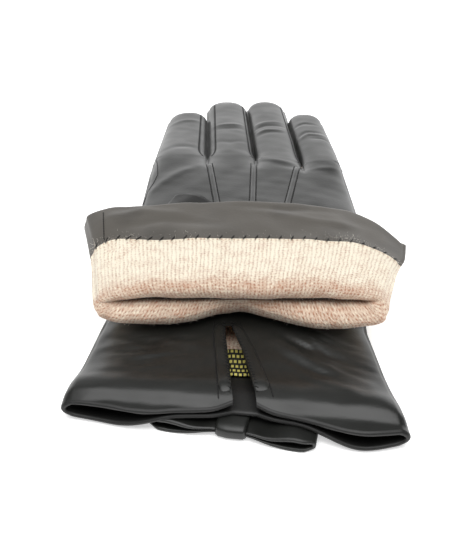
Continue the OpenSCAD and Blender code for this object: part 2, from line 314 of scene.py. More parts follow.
@dataclass(frozen=True)
class Leather:
    """Dyed sheepskin nappa: a fine pebbled grain under a soft, slightly waxy gloss.

    The grain of the real leather is about 0.4 mm, too fine to show, so it is drawn coarser.
    """

    name: str
    colour: str
    roughness: float = 0.42
    grain_mm: float = 1.1
    relief: float = 0.05
    specular: float = 0.5

    def build(self) -> bpy.types.Material:
        """Return the material: clouds in its dye and polish, grain, and dull dark seams."""
        material, tree, shader = new_material(self.name)
        place = add_node(tree, "ShaderNodeTexCoord").outputs["Object"]
        grain = add_node(tree, "ShaderNodeTexNoise",
                         {"Vector": place, "Scale": 1000 / self.grain_mm, "Detail": 2.0})
        cloud = add_node(tree, "ShaderNodeTexNoise", {"Vector": place, "Scale": 60.0, "Detail": 2.0})
        seam = add_node(tree, "ShaderNodeAttribute", attribute_name="seam").outputs["Fac"]
        tone = add_node(tree, "ShaderNodeMapRange", {"Value": cloud, "From Min": 0.3, "From Max": 0.7,
                                                     "To Min": 0.75, "To Max": 1.25})
        clear = add_node(tree, MATHS, {0: 1.0, 1: seam}, operation="SUBTRACT")
        dye = add_node(tree, MATHS, {0: tone, 1: clear}, operation="MULTIPLY")
        tint = add_node(tree, "ShaderNodeMix", {0: dye, 6: (0, 0, 0, 1), 7: linear(self.colour)},
                        data_type="RGBA")
        tree.links.new(tint.outputs[2], shader.inputs["Base Color"])
        polish = add_node(tree, "ShaderNodeMapRange",
                          {"Value": cloud, "From Min": 0.3, "From Max": 0.7,
                           "To Min": self.roughness - 0.04, "To Max": self.roughness + 0.06})
        dull = add_node(tree, MATHS, {0: seam, 1: 0.5}, operation="MULTIPLY")
        matt = add_node(tree, MATHS, {0: polish, 1: dull}, operation="ADD")
        tree.links.new(matt.outputs[0], shader.inputs["Roughness"])
        bump = add_node(tree, "ShaderNodeBump",
                        {"Height": grain, "Strength": 0.6, "Distance": self.relief * MM})
        tree.links.new(bump.outputs[0], shader.inputs["Normal"])
        shader.inputs["Specular IOR Level"].default_value = self.specular
        return material


@dataclass(frozen=True)
class Jersey:
    """Brushed wool jersey: columns of small V stitches under a light nap, pinker and darker in painted shade
    at the cuff's lips and inside the gloves.

    The real knit has about ten columns to a centimetre. They are drawn a little wider to show.
    """

    name: str
    colour: str
    shade: str
    # Nearly black brown: painted shade in the line where the cuff's two lips meet
    deep: str = "3a2c22"
    wale_mm: float = 1.45
    course_mm: float = 1.15
    relief: float = 0.6

    def stitches(self, tree: bpy.types.NodeTree, uv: bpy.types.Node) -> bpy.types.Node:
        """Draw the columns of V stitches, slightly wobbly as knitting is.

        Args:
            tree: The material's tree.
            uv: Places on the cloth, in mm.

        Returns:
            A node that gives 1 on the yarn and less in the holes between the stitches.
        """
        wobble = add_node(tree, "ShaderNodeTexNoise", {"Vector": uv, "Scale": 0.35, "Detail": 1.0})
        moved = add_node(tree, "ShaderNodeVectorMath",
                         {0: wobble.outputs["Color"], 1: (1.2, 1.2, 0), 2: uv}, operation="MULTIPLY_ADD")
        split = add_node(tree, "ShaderNodeSeparateXYZ", {0: moved})
        wales = add_node(tree, MATHS, {0: split.outputs[0], 1: self.wale_mm}, operation="DIVIDE")
        wale = add_node(tree, MATHS, {0: wales}, operation="FRACT")
        offset = add_node(tree, MATHS, {0: wale, 1: 0.5}, operation="SUBTRACT")
        side = add_node(tree, MATHS, {0: offset}, operation="ABSOLUTE")
        slope = add_node(tree, MATHS, {0: side, 1: 1.4}, operation="MULTIPLY")
        courses = add_node(tree, MATHS, {0: split.outputs[1], 1: self.course_mm}, operation="DIVIDE")
        course = add_node(tree, MATHS, {0: courses, 1: slope}, operation="ADD")
        turn = add_node(tree, MATHS, {0: course, 1: 2 * math.pi}, operation="MULTIPLY")
        wave = add_node(tree, MATHS, {0: turn}, operation="SINE")
        between = add_node(tree, MATHS, {0: wave, 1: -0.5, 2: 0.5}, operation="MULTIPLY_ADD")
        arc = add_node(tree, MATHS, {0: side, 1: math.pi, 2: 0.02}, operation="MULTIPLY_ADD")
        bow = add_node(tree, MATHS, {0: arc}, operation="SINE")
        rib = add_node(tree, MATHS, {0: bow, 1: 0.6}, operation="POWER")
        trough = add_node(tree, MATHS, {0: 1.0, 1: rib}, operation="SUBTRACT")
        hole = add_node(tree, MATHS, {0: trough, 1: between}, operation="MULTIPLY")
        return add_node(tree, MATHS, {0: 1.0, 1: hole}, operation="SUBTRACT")

    def build(self) -> bpy.types.Material:
        """Return the material, its stitches drawn on the piece's own UV map in mm."""
        material, tree, shader = new_material(self.name)
        uv = add_node(tree, "ShaderNodeUVMap", uv_map="surface")
        stitch = self.stitches(tree, uv)
        nap = add_node(tree, "ShaderNodeTexNoise", {"Vector": uv, "Scale": 1.3, "Detail": 4.0})
        cloud = add_node(tree, "ShaderNodeTexNoise", {"Vector": uv, "Scale": 0.22, "Detail": 3.0})
        # Painted shade: this vertex mark, full inside the gloves and at the cuff's lips, pulls the knit
        # towards its pink shade colour
        painted_shade = add_node(tree, "ShaderNodeAttribute", attribute_name="painted_shade").outputs["Fac"]
        shade_offset = add_node(tree, MATHS, {0: painted_shade, 1: -0.5, 2: -1.1}, operation="MULTIPLY_ADD")
        patchy = add_node(tree, MATHS, {0: cloud, 1: 1.1, 2: shade_offset}, operation="MULTIPLY_ADD")
        fluffy = add_node(tree, MATHS, {0: nap, 1: 1.5, 2: patchy}, operation="MULTIPLY_ADD")
        # The holes between the stitches take more of the shade colour: painted shade in the knit's recesses
        blend = add_node(tree, MATHS, {0: stitch, 1: 0.8, 2: fluffy}, operation="MULTIPLY_ADD")
        tint = add_node(tree, "ShaderNodeMix",
                        {0: blend, 6: linear(self.shade), 7: linear(self.colour)}, data_type="RGBA")
        # The seam mark turns the knit nearly black: painted shade in the line where the cuff's two lips meet
        seam = add_node(tree, "ShaderNodeAttribute", attribute_name="seam").outputs["Fac"]
        sunk = add_node(tree, "ShaderNodeMix", {0: seam, 6: tint.outputs[2], 7: linear(self.deep)},
                        data_type="RGBA")
        tree.links.new(sunk.outputs[2], shader.inputs["Base Color"])
        height = add_node(tree, MATHS, {0: nap, 1: 1.2, 2: stitch}, operation="MULTIPLY_ADD")
        bump = add_node(tree, "ShaderNodeBump",
                        {"Height": height, "Strength": 0.7, "Distance": self.relief * MM})
        tree.links.new(bump.outputs[0], shader.inputs["Normal"])
        shader.inputs["Roughness"].default_value = 0.95
        shader.inputs["Specular IOR Level"].default_value = 0.15
        shader.inputs["Sheen Weight"].default_value = 0.35
        shader.inputs["Sheen Roughness"].default_value = 0.5
        return material


@dataclass(frozen=True)
class Plain:
    """A plain finish of one colour, for thread, fibre and the table, too fine or even for a pattern."""

    name: str
    colour: str
    roughness: float
    specular: float = 0.3
    glow: float = 0.0

    def build(self) -> bpy.types.Material:
        """Return the material."""
        material, _, shader = new_material(self.name)
        shader.inputs["Base Color"].default_value = linear(self.colour)
        shader.inputs["Roughness"].default_value = self.roughness
        shader.inputs["Specular IOR Level"].default_value = self.specular
        if self.glow:
            shader.inputs["Emission Color"].default_value = (1, 1, 1, 1)
            shader.inputs["Emission Strength"].default_value = self.glow
        return material


@dataclass(frozen=True)
class WovenTape:
    """Black woven tape with rows of plain gold dashes, matt as floss is."""

    name: str
    ground: str
    gold: str
    dash_mm: float = 1.5
    row_mm: float = 2.9
    dash_share: float = 0.6
    row_share: float = 0.55
    row_shift: float = 0.37

    def build(self) -> bpy.types.Material:
        """Return the material, its dashes drawn on the tape's UV map in mm."""
        material, tree, shader = new_material(self.name)
        uv = add_node(tree, "ShaderNodeUVMap", uv_map="surface")
        split = add_node(tree, "ShaderNodeSeparateXYZ", {0: uv})
        rows = add_node(tree, MATHS, {0: split.outputs[1], 1: self.row_mm}, operation="DIVIDE")
        row = add_node(tree, MATHS, {0: rows}, operation="FRACT")
        number = add_node(tree, MATHS, {0: rows}, operation="FLOOR")
        dashes = add_node(tree, MATHS, {0: split.outputs[0], 1: self.dash_mm}, operation="DIVIDE")
        shifted = add_node(tree, MATHS, {0: number, 1: self.row_shift, 2: dashes}, operation="MULTIPLY_ADD")
        dash = add_node(tree, MATHS, {0: shifted}, operation="FRACT")
        in_row = add_node(tree, MATHS, {0: row, 1: self.row_share}, operation="LESS_THAN")
        in_dash = add_node(tree, MATHS, {0: dash, 1: self.dash_share}, operation="LESS_THAN")
        shown = add_node(tree, MATHS, {0: in_row, 1: in_dash}, operation="MULTIPLY")
        tint = add_node(tree, "ShaderNodeMix", {0: shown, 6: linear(self.ground), 7: linear(self.gold)},
                        data_type="RGBA")
        tree.links.new(tint.outputs[2], shader.inputs["Base Color"])
        shader.inputs["Roughness"].default_value = 0.7
        return material


class Dress:
    """All finishes of the pair, built once."""

    def __init__(self) -> None:
        """Build every material."""
        # Dyed and polished sheepskin: black, and grey where a light wall is mirrored in it
        self.nappa = Leather("black_nappa_leather_polished", "1d1e1c", 0.36).build()
        # The same skin left matt, as a lit copy: its warm grey is painted light, for the light that falls on
        # the turned facing
        self.facing = Leather("black_facing_leather_matt_painted_light", "56524c", 0.5, 1.3, 0.08).build()
        # The same matt skin as a shaded copy: black without gloss, painted shade for the facing inside the
        # mouth and the bow under the turned cuff
        self.shaded = Leather("black_facing_leather_matt_painted_shade", "1a1a19", 0.5, 1.3, 0.08).build()
        # Knitted wool, brushed: cream on the yarn, rosy beige in patches and as painted shade between the
        # stitches, at the lips and inside the gloves
        self.jersey = Jersey("beige_wool_jersey_brushed", "fff5e0", "bf8c70").build()
        # Spun polyester: black with little gloss
        self.thread = Plain("black_sewing_thread", "1c1c1c", 0.6).build()
        # Single wool hairs: almost white against the leather
        self.fibre = Plain("beige_wool_fibre", "fff8ec", 0.9).build()
        # Damask tape: black ground and gold floss
        self.tape = WovenTape("black_woven_tape_gold_dashes", "141414", "cfc568").build()


# ---- stitches and fibres ----------------------------------------------------


class GeometryTree:
    """A Geometry Nodes tree with named inputs, applied to a carrier mesh."""

    def __init__(self, name: str, inputs: dict[str, tuple[str, object]]) -> None:
        """Start the tree.

        Args:
            name: The tree's name.
            inputs: Socket type and default value by the input's name.
        """
        self.tree = bpy.data.node_groups.new(name, "GeometryNodeTree")
        face = self.tree.interface
        face.new_socket("Carrier", in_out="INPUT", socket_type="NodeSocketGeometry")
        face.new_socket("Made", in_out="OUTPUT", socket_type="NodeSocketGeometry")
        for key, (kind, value) in inputs.items():
            socket = face.new_socket(key, in_out="INPUT", socket_type=kind)
            if value is not None:
                socket.default_value = value
        self.start = self.tree.nodes.new("NodeGroupInput").outputs
        self.end = self.tree.nodes.new("NodeGroupOutput")

    def close(self, instances: bpy.types.Node) -> None:
        """Realize the instances, give them the material and end the tree."""
        real = add_node(self.tree, "GeometryNodeRealizeInstances", {"Geometry": instances})
        dressed = add_node(self.tree, "GeometryNodeSetMaterial",
                           {"Geometry": real, "Material": self.start["Material"]})
        self.tree.links.new(dressed.outputs[0], self.end.inputs[0])

    def grow(self, carrier: bpy.types.Object, name: str, values: dict[str, object]) -> bpy.types.Object:
        """Run the tree on a carrier and keep the result as a plain mesh.

        Args:
            carrier: The mesh that carries the places. It is removed.
            name: The new piece's name.
            values: Input values by name.

        Returns:
            The new object.
        """
        modifier = carrier.modifiers.new("grow", "NODES")
        modifier.node_group = self.tree
        for item in self.tree.interface.items_tree:
            if item.in_out == "INPUT" and item.name in values:
                modifier[item.identifier] = values[item.name]
        bpy.context.view_layer.update()
        graph = bpy.context.evaluated_depsgraph_get()
        mesh = bpy.data.meshes.new_from_object(carrier.evaluated_get(graph), depsgraph=graph)
        mesh.name = name
        obj = link(name, mesh)
        bpy.data.objects.remove(carrier)
        return obj


class StitchTree(GeometryTree):
    """Short threads laid at even steps along a line, each turned by the slant."""

    def __init__(self) -> None:
        """Build the tree."""
        super().__init__("sewn_stitches", {
            "Step": ("NodeSocketFloat", 0.002), "Length": ("NodeSocketFloat", 0.0015),
            "Radius": ("NodeSocketFloat", 0.0002), "Slant": ("NodeSocketFloat", 0.0),
            "Material": ("NodeSocketMaterial", None)})
        tree, start = self.tree, self.start
        line = add_node(tree, "GeometryNodeMeshToCurve", {"Mesh": start["Carrier"]})
        even = add_node(tree, "GeometryNodeResampleCurve", {"Curve": line, "Length": start["Step"]},
                        mode="LENGTH")
        up = add_node(tree, "GeometryNodeInputNamedAttribute", {"Name": "up"}, data_type="FLOAT_VECTOR")
        tangent = add_node(tree, "GeometryNodeInputTangent")
        turned = add_node(tree, "ShaderNodeVectorRotate",
                          {"Vector": tangent, "Axis": up, "Angle": start["Slant"]},
                          rotation_type="AXIS_ANGLE")
        lie = add_node(tree, "FunctionNodeAlignRotationToVector", {"Vector": turned}, axis="Z")
        thread = add_node(tree, "GeometryNodeMeshUVSphere",
                          {"Segments": 6, "Rings": 4, "Radius": start["Radius"]})
        share = add_node(tree, MATHS, {0: start["Length"], 1: start["Radius"]}, operation="DIVIDE")
        half = add_node(tree, MATHS, {0: share, 1: 0.5}, operation="MULTIPLY")
        stretch = add_node(tree, "ShaderNodeCombineXYZ", {"X": 1.0, "Y": 1.0, "Z": half})
        self.close(add_node(tree, "GeometryNodeInstanceOnPoints",
                            {"Points": even, "Instance": thread, "Rotation": lie, "Scale": stretch}))

    def sew(self, name: str, lines: list[np.ndarray], ups: list[np.ndarray], step: float, length: float,
            width: float, slant: float, material: bpy.types.Material) -> bpy.types.Object:
        """Sew stitches along lines.

        Args:
            name: The piece's name.
            lines: Points of each line, in mm.
            ups: Direction away from the surface at each point.
            step: Spacing of the stitches, in mm.
            length: Length of a stitch, in mm.
            width: Thickness of the thread, in mm.
            slant: Turn of each stitch from the line, in degrees.
            material: The thread's finish.

        Returns:
            The stitches as one mesh.
        """
        mesh = bpy.data.meshes.new(name + "_line")
        edges, count = [], 0
        for line in lines:
            edges += [(count + i, count + i + 1) for i in range(len(line) - 1)]
            count += len(line)
        mesh.from_pydata((np.concatenate(lines) * MM).tolist(), edges, [])
        mesh.attributes.new("up", "FLOAT_VECTOR", "POINT").data.foreach_set(
            "vector", np.concatenate(ups).astype(np.float32).ravel())
        return self.grow(link(name + "_line", mesh), name,
                         {"Step": step * MM, "Length": length * MM, "Radius": width / 2 * MM,
                          "Slant": math.radians(slant), "Material": material})


class FibreTree(GeometryTree):
    """Fine bent fibres that stand out of a knitted surface."""

    def __init__(self) -> None:
        """Build the tree."""
        super().__init__("stray_fibres", {
            "Per square metre": ("NodeSocketFloat", 400000.0), "Length": ("NodeSocketFloat", 0.003),
            "Radius": ("NodeSocketFloat", 0.00005), "Seed": ("NodeSocketInt", 7),
            "Lean": ("NodeSocketFloat", 1.2), "Material": ("NodeSocketMaterial", None)})
        tree, start = self.tree, self.start
        share = add_node(tree, "GeometryNodeInputNamedAttribute", {"Name": "nap"}, data_type="FLOAT")
        density = add_node(tree, MATHS, {0: share, 1: start["Per square metre"]}, operation="MULTIPLY")
        points = add_node(tree, "GeometryNodeDistributePointsOnFaces",
                          {"Mesh": start["Carrier"], "Density": density, "Seed": start["Seed"]})
        bend = add_node(tree, "GeometryNodeCurveQuadraticBezier",
                        {"Resolution": 3, "Start": (0, 0, -0.1), "Middle": (0.05, 0.0, 0.55),
                         "End": (0.5, 0.12, 0.8)})
        thin = add_node(tree, MATHS, {0: start["Radius"], 1: start["Length"]}, operation="DIVIDE")
        ring = add_node(tree, "GeometryNodeCurvePrimitiveCircle", {"Resolution": 3, "Radius": thin})
        fibre = add_node(tree, "GeometryNodeCurveToMesh", {"Curve": bend, "Profile Curve": ring})
        back = add_node(tree, MATHS, {0: start["Lean"], 1: -1.0}, operation="MULTIPLY")
        low = add_node(tree, "ShaderNodeCombineXYZ", {"X": back, "Y": back, "Z": -math.pi})
        high = add_node(tree, "ShaderNodeCombineXYZ", {"X": start["Lean"], "Y": start["Lean"],
                                                       "Z": math.pi})
        spin = add_node(tree, "FunctionNodeRandomValue", {0: low, 1: high, "Seed": start["Seed"]},
                        data_type="FLOAT_VECTOR")
        euler = add_node(tree, "FunctionNodeEulerToRotation", {0: spin})
        turn = add_node(tree, "FunctionNodeRotateRotation", {0: points.outputs["Rotation"], 1: euler},
                        rotation_space="LOCAL")
        size = add_node(tree, "FunctionNodeRandomValue", {2: 0.35, 3: 1.3, "Seed": start["Seed"]},
                        data_type="FLOAT")
        length = add_node(tree, MATHS, {0: size.outputs[1], 1: start["Length"]}, operation="MULTIPLY")
        self.close(add_node(tree, "GeometryNodeInstanceOnPoints",
                            {"Points": points, "Instance": fibre, "Rotation": turn, "Scale": length}))

    def raise_nap(self, name: str, surface: bpy.types.Object, nap: np.ndarray, per_cm2: float,
                  length: float, width: float, seed: int,
                  material: bpy.types.Material) -> bpy.types.Object:
        """Raise fibres on a copy of a surface.

        Args:
            name: The piece's name.
            surface: The knitted piece.
            nap: Share of the fibres at each vertex.
            per_cm2: Fibres on a square centimetre.
            length: Length of a fibre, in mm.
            width: Thickness of a fibre, in mm.
            seed: Seed of their places.
            material: The fibre's finish.

        Returns:
            The fibres as one mesh.
        """
        carrier = link(name + "_carrier", surface.data.copy())
        carrier.data.attributes.new("nap", "FLOAT", "POINT").data.foreach_set(
            "value", np.asarray(nap, np.float32))
        return self.grow(carrier, name, {"Per square metre": per_cm2 * 1e4, "Length": length * MM,
                                         "Radius": width / 2 * MM, "Seed": seed, "Material": material})


# ---- shaped skins -------------------------------------------------------------


@dataclass(frozen=True)
class Crease:
    """A ridge, or a fold where the height is negative, along a bent line."""

    line: tuple[Plan, ...]
    height: float
    width: float = 1.2
    dark: float = 0.0

    def press(self, x: np.ndarray, y: np.ndarray) -> tuple[np.ndarray, np.ndarray]:
        """Return the height and the darkness that this crease adds at each place.

        Args:
            x: Places across, in mm.
            y: Places along, in mm.

        Returns:
            Heights in mm and darkness from 0 to 1.
        """
        corners = np.array(self.line, float)
        near = np.full(x.shape, 1e9)
        place = np.zeros(x.shape)
        for i in range(len(corners) - 1):
            a, d = corners[i], corners[i + 1] - corners[i]
            t = np.clip(((x - a[0]) * d[0] + (y - a[1]) * d[1]) / (d @ d), 0, 1)
            gap = np.hypot(x - a[0] - t * d[0], y - a[1] - t * d[1])
            place = np.where(gap < near, (i + t) / (len(corners) - 1), place)
            near = np.minimum(near, gap)
        fade = np.sin(np.clip(place, 0.02, 0.98) * math.pi) ** 0.6
        form = np.exp(-(near / self.width) ** 2)
        return self.height * form * fade, self.dark * np.exp(-(near / (0.55 * self.width)) ** 2)


@dataclass(frozen=True)
class Stall:
    """One finger of a glove, from the middle of its base to its tip."""

    base_x: float
    base_w: float
    tip_x: float
    tip_y: float
    tip_w: float


@dataclass
class HandPlan:
    """What gives a glove's hand its shape, in mm."""

    stalls: tuple[Stall, ...]
    start: float
    base: float
    web_shift: tuple[float, ...]
    edge_stops: list[float]
    left_edge: list[float]
    right_edge: list[float]
    low_base: float
    high_base: float
    low_tip: float
    high_tip: float
    finger_power: float = 2.5
    # Share of the half width at which each finger's left and right seam runs
    seams: tuple[Plan, ...] = ((0.97, 0.66), (0.66, 0.8), (0.97, 0.82), (0.97, 0.97))
    # How far each tip's nose leans to the right, as a share of its half width
    lean: tuple[float, ...] = (0.4, -0.05, -0.3, -0.25)

    def low(self, x: np.ndarray, y: np.ndarray) -> np.ndarray:
        """Return the height of the underside."""
        return np.full(np.broadcast(x, y).shape, self.low_base)

    def high(self, x: np.ndarray, y: np.ndarray) -> np.ndarray:
        """Return the height of the top."""
        return np.full(np.broadcast(x, y).shape, self.high_base)

    def wall(self, y: float) -> float:
        """Return the share of the side that stands upright at a place along the hand."""
        return 0.16

    def slant(self, x: np.ndarray, y: np.ndarray) -> np.ndarray:
        """Return how far a row is moved along the glove near the mouth."""
        return np.zeros(np.broadcast(x, y).shape)

    def warp(self, x: np.ndarray, y: float) -> np.ndarray:
        """Return the places across of the top's columns, moved aside for an opening."""
        return x


@dataclass
class Skin:
    """A glove's surface as one mesh: points, faces, and which part each face is in."""

    points: np.ndarray
    faces: list[tuple[int, ...]]
    part: np.ndarray
    top: np.ndarray
    seam: np.ndarray
    rows: int
    ring: int
    painted_shade: np.ndarray

    @cached_property
    def normals(self) -> np.ndarray:
        """Return a smooth normal for each point of the whole skin."""
        mesh = bpy.data.meshes.new("skin")
        mesh.from_pydata(self.points.tolist(), [], self.faces)
        out = np.zeros(len(mesh.vertices) * 3, np.float32)
        mesh.vertex_normals.foreach_get("vector", out)
        bpy.data.meshes.remove(mesh)
        return out.reshape(-1, 3)

    def cut(self, name: str, chosen: np.ndarray, material: bpy.types.Material,
            uv: np.ndarray | None = None) -> bpy.types.Object:
        """Make a piece of the chosen faces that keeps the whole skin's shading at its edges.

        Args:
            name: The piece's name.
            chosen: True for each face that belongs to it.
            material: The finish.
            uv: Two values for each point, in mm.

        Returns:
            The new object.
        """
        faces = [self.faces[i] for i in np.nonzero(chosen)[0]]
        used = np.unique(np.concatenate([np.array(f) for f in faces]))
        place = np.full(len(self.points), -1)
        place[used] = np.arange(len(used))
        obj = make_piece(name, self.points[used], [[place[v] for v in f] for f in faces], material,
                         None if uv is None else uv[used],
                         {"seam": self.seam[used], "painted_shade": self.painted_shade[used]})
        obj.data.normals_split_custom_set_from_vertices(self.normals[used].tolist())
        return obj


class HandSkin:
    """Rings of points along a hand and its four fingers, joined into one skin."""

    SEAM_AT = 0.76
    SEAM_EDGE = 0.045
    SIDES = 7
    OUTER_POWER = 1.1
    # Share of the side that stands upright: between fingers, at the outer sides, and on a finger
    WEB_WALL, SIDE_WALL, FINGER_WALL = 0.42, 0.16, 0.12

    def __init__(self, plan: HandPlan, inset: float = 0.0, fine: bool = True) -> None:
        """Choose the grid.

        Args:
            plan: The glove's shape.
            inset: How far inside the plan's surface the skin lies, in mm.
            fine: False for a coarse skin without seams.
        """
        self.plan, self.inset, self.fine = plan, inset, fine
        t = np.linspace(-1, 1, (24 if fine else 8) + 1)
        c = 0.55 * t + 0.45 * np.sin(t * math.pi / 2)
        if fine:
            seam = self.SEAM_AT + self.SEAM_EDGE * np.array([-1, 0, 1])
            away = c[np.abs(np.abs(c) - self.SEAM_AT) > 0.05]
            c = np.array(sorted({*np.round(away, 4), *seam, *-seam}))
        self.c, self.n = c, len(c)
        self.v = np.linspace(1, -1, self.SIDES + 2)[1:-1]
        self.row_step = 1.1 if fine else 4.0
        last = plan.stalls[-1]
        webs = [s.base_x - s.base_w / 2 for s in plan.stalls] + [last.base_x + last.base_w / 2]
        spans = [a + (c[1:] + 1) / 2 * (b - a) for a, b in zip(webs, webs[1:])]
        self.xs = np.concatenate([[webs[0]], *spans])
        self.shift = np.interp(self.xs, webs, plan.web_shift)
        self.u = (self.xs - (webs[0] + webs[-1]) / 2) / (webs[-1] - webs[0]) * 2
        self.columns = len(self.xs)
        self.base_mid = (plan.low_base + plan.high_base) / 2
        self.base_half = (plan.high_base - plan.low_base) / 2 - inset

    def ring(self, x: np.ndarray, y: np.ndarray, middle: np.ndarray, crown: np.ndarray, left_bulge: float,
             right_bulge: float) -> np.ndarray:
        """Close a ring from its top columns.

        Args:
            x: Places across of the top columns.
            y: Places along of the top columns.
            middle: Middle height of each column.
            crown: Half thickness at each column.
            left_bulge: How far the left side stands out.
            right_bulge: How far the right side stands out.

        Returns:
            The ring's points: top, right side, underside, left side.
        """
        top = np.stack([x, y, middle + crown], -1)
        under = np.stack([x, y, middle - crown], -1)[::-1]
        swell = 1 - self.v ** 2
        right = np.stack([x[-1] + right_bulge * swell, np.full(self.SIDES, y[-1]),
                          middle[-1] + crown[-1] * self.v], -1)
        left = np.stack([x[0] - left_bulge * swell[::-1], np.full(self.SIDES, y[0]),
                         middle[0] - crown[0] * self.v], -1)
        return np.concatenate([top, right, under, left])

    def crown(self, finger: int, c: np.ndarray, half: float, wall: float, outer: float) -> np.ndarray:
        """Return a finger's half thicknesses over the columns c.

        Args:
            finger: The finger's number. The first has an outer left side, the last an outer right one.
            c: Places across, -1 to 1.
            half: Half thickness in the middle.
            wall: Share of it that stands upright at a side that faces another finger.
            outer: How much flatter the shoulder of an outer side is, 0 to 1.

        Returns:
            A half thickness for each place.
        """
        outside = np.where(c < 0, finger == 0, finger == len(self.plan.stalls) - 1)
        rise = superellipse(c, self.plan.finger_power + self.OUTER_POWER * outer * outside, 1.9)
        wall = np.where(outside, self.SIDE_WALL, wall)
        return half * (wall + (1 - wall) * rise)

    def hand(self, base_crown: np.ndarray) -> list[np.ndarray]:
        """Return the rings of the hand, from its start to the base of the fingers.

        Args:
            base_crown: Half thickness of each column at the base of the fingers.

        Returns:
            The rings' points.
        """
        plan, rings = self.plan, []
        for y0 in np.linspace(plan.start, plan.base, int((plan.base - plan.start) / self.row_step) + 1):
            left = float(np.interp(y0, plan.edge_stops, plan.left_edge)) + self.inset
            right = float(np.interp(y0, plan.edge_stops, plan.right_edge)) - self.inset
            x = plan.warp((left + right) / 2 + self.u * (right - left) / 2, y0)
            near = float(ease((y0 - plan.base + 40) / 40))
            y = y0 + self.shift * near + plan.slant(x, np.full(x.shape, y0))
            low, high = plan.low(x, y) + self.inset, plan.high(x, y) - self.inset
            wall = plan.wall(float(y0))
            crown = (high - low) / 2 * (wall + (1 - wall) * superellipse(self.u, 3.6 + 4.5 * near, 2.0))
            joined = float(ease((y0 - plan.base + 17) / 17))
            crown = crown * (1 - joined) + base_crown * joined
            middle = (low + high) / 2 * (1 - joined) + self.base_mid * joined
            swell = 1.0 + 2.4 * (wall - self.SIDE_WALL)
            rings.append(self.ring(x, y, middle, crown, swell, swell))
        return rings

    def finger(self, f: int) -> tuple[list[np.ndarray], list[np.ndarray]]:
        """Return the rings of a finger, past its base, and the seam's darkness on each.

        Args:
            f: The finger's number.

        Returns:
            The rings' points and a darkness for each point.
        """
        plan, stall, n = self.plan, self.plan.stalls[f], self.n
        length = stall.tip_y - plan.base - self.inset
        nose = stall.tip_w * 0.5
        run_up = np.linspace(0, length - nose, int((length - nose) / self.row_step) + 1)[1:]
        turns = np.radians(np.linspace(0, 88, 13 if self.fine else 5))[1:]
        stops = [(a, 1.0, 1.0) for a in run_up]
        stops += [(length - nose + nose * math.sin(t), math.cos(t) ** 0.8, math.cos(t) ** 0.5) for t in turns]
        has_seam = np.where(self.c < 0, plan.seams[f][0] < 0.95, plan.seams[f][1] < 0.95)
        mark = np.exp(-((np.abs(self.c) - self.SEAM_AT) / 0.03) ** 2) * has_seam
        sides = np.zeros(self.SIDES)
        tip_mid, tip_half = (plan.low_tip + plan.high_tip) / 2, (plan.high_tip - plan.low_tip) / 2
        rings, seams = [], []
        for a, across, thick in stops:
            share, early = a / length, min(a / 4, 1)
            half = (stall.base_w / 2 - 0.2 * early) * (1 - share) + stall.tip_w / 2 * share
            half = (half - self.inset * 0.9 * early) * across
            middle = self.base_mid * (1 - share) + tip_mid * share
            deep = (self.base_half * (1 - share) + (tip_half - self.inset) * share) * thick
            open_up = float(ease(a / 9))
            run = math.sqrt(1 - (1 - min(a / 13, 1)) ** 2)
            at_left, at_right = (0.985 + (to - 0.985) * run for to in plan.seams[f])
            warped = np.interp(self.c, [-1, -self.SEAM_AT, 0, self.SEAM_AT, 1],
                               [-1, -at_left, 0, at_right, 1])
            wall = self.WEB_WALL * (1 - open_up) + self.FINGER_WALL * open_up
            crown = self.crown(f, warped, deep, wall, 1 - share)
            x = stall.base_x + (stall.tip_x - stall.base_x) * share + warped * half
            x = x + plan.lean[f] * stall.tip_w / 2 * (1 - across) * 0.7
            y = plan.base + a + self.shift[(n - 1) * f:(n - 1) * f + n] * (1 - float(ease(a / 18)))
            bulge = 0.9 * open_up * across
            rings.append(self.ring(x, y, np.full(n, middle), crown, across if f == 0 else bulge,
                                   across if f == len(plan.stalls) - 1 else bulge))
            seams.append(np.concatenate([mark, sides, mark[::-1], sides]))
        return rings, seams

    def build(self) -> Skin:
        """Join the hand and its fingers.

        Returns:
            The whole skin.
        """
        n, columns, fingers = self.n, self.columns, len(self.plan.stalls)
        base_crown = np.zeros(columns)
        for f in range(fingers):
            base_crown[(n - 1) * f:(n - 1) * f + n] = self.crown(f, self.c, self.base_half, self.WEB_WALL, 1)
        rings = self.hand(base_crown)
        rows, ring = len(rings), len(rings[0])
        points = [np.concatenate(rings)]
        count, last = ring * rows, (rows - 1) * ring
        webs = []
        for w in range(1, fingers):
            top = rings[-1][(n - 1) * w]
            under = rings[-1][columns + self.SIDES + columns - 1 - (n - 1) * w]
            points.append(top + (under - top) * (1 - self.v)[:, None] / 2)
            webs.append(np.arange(count, count + self.SIDES))
            count += self.SIDES

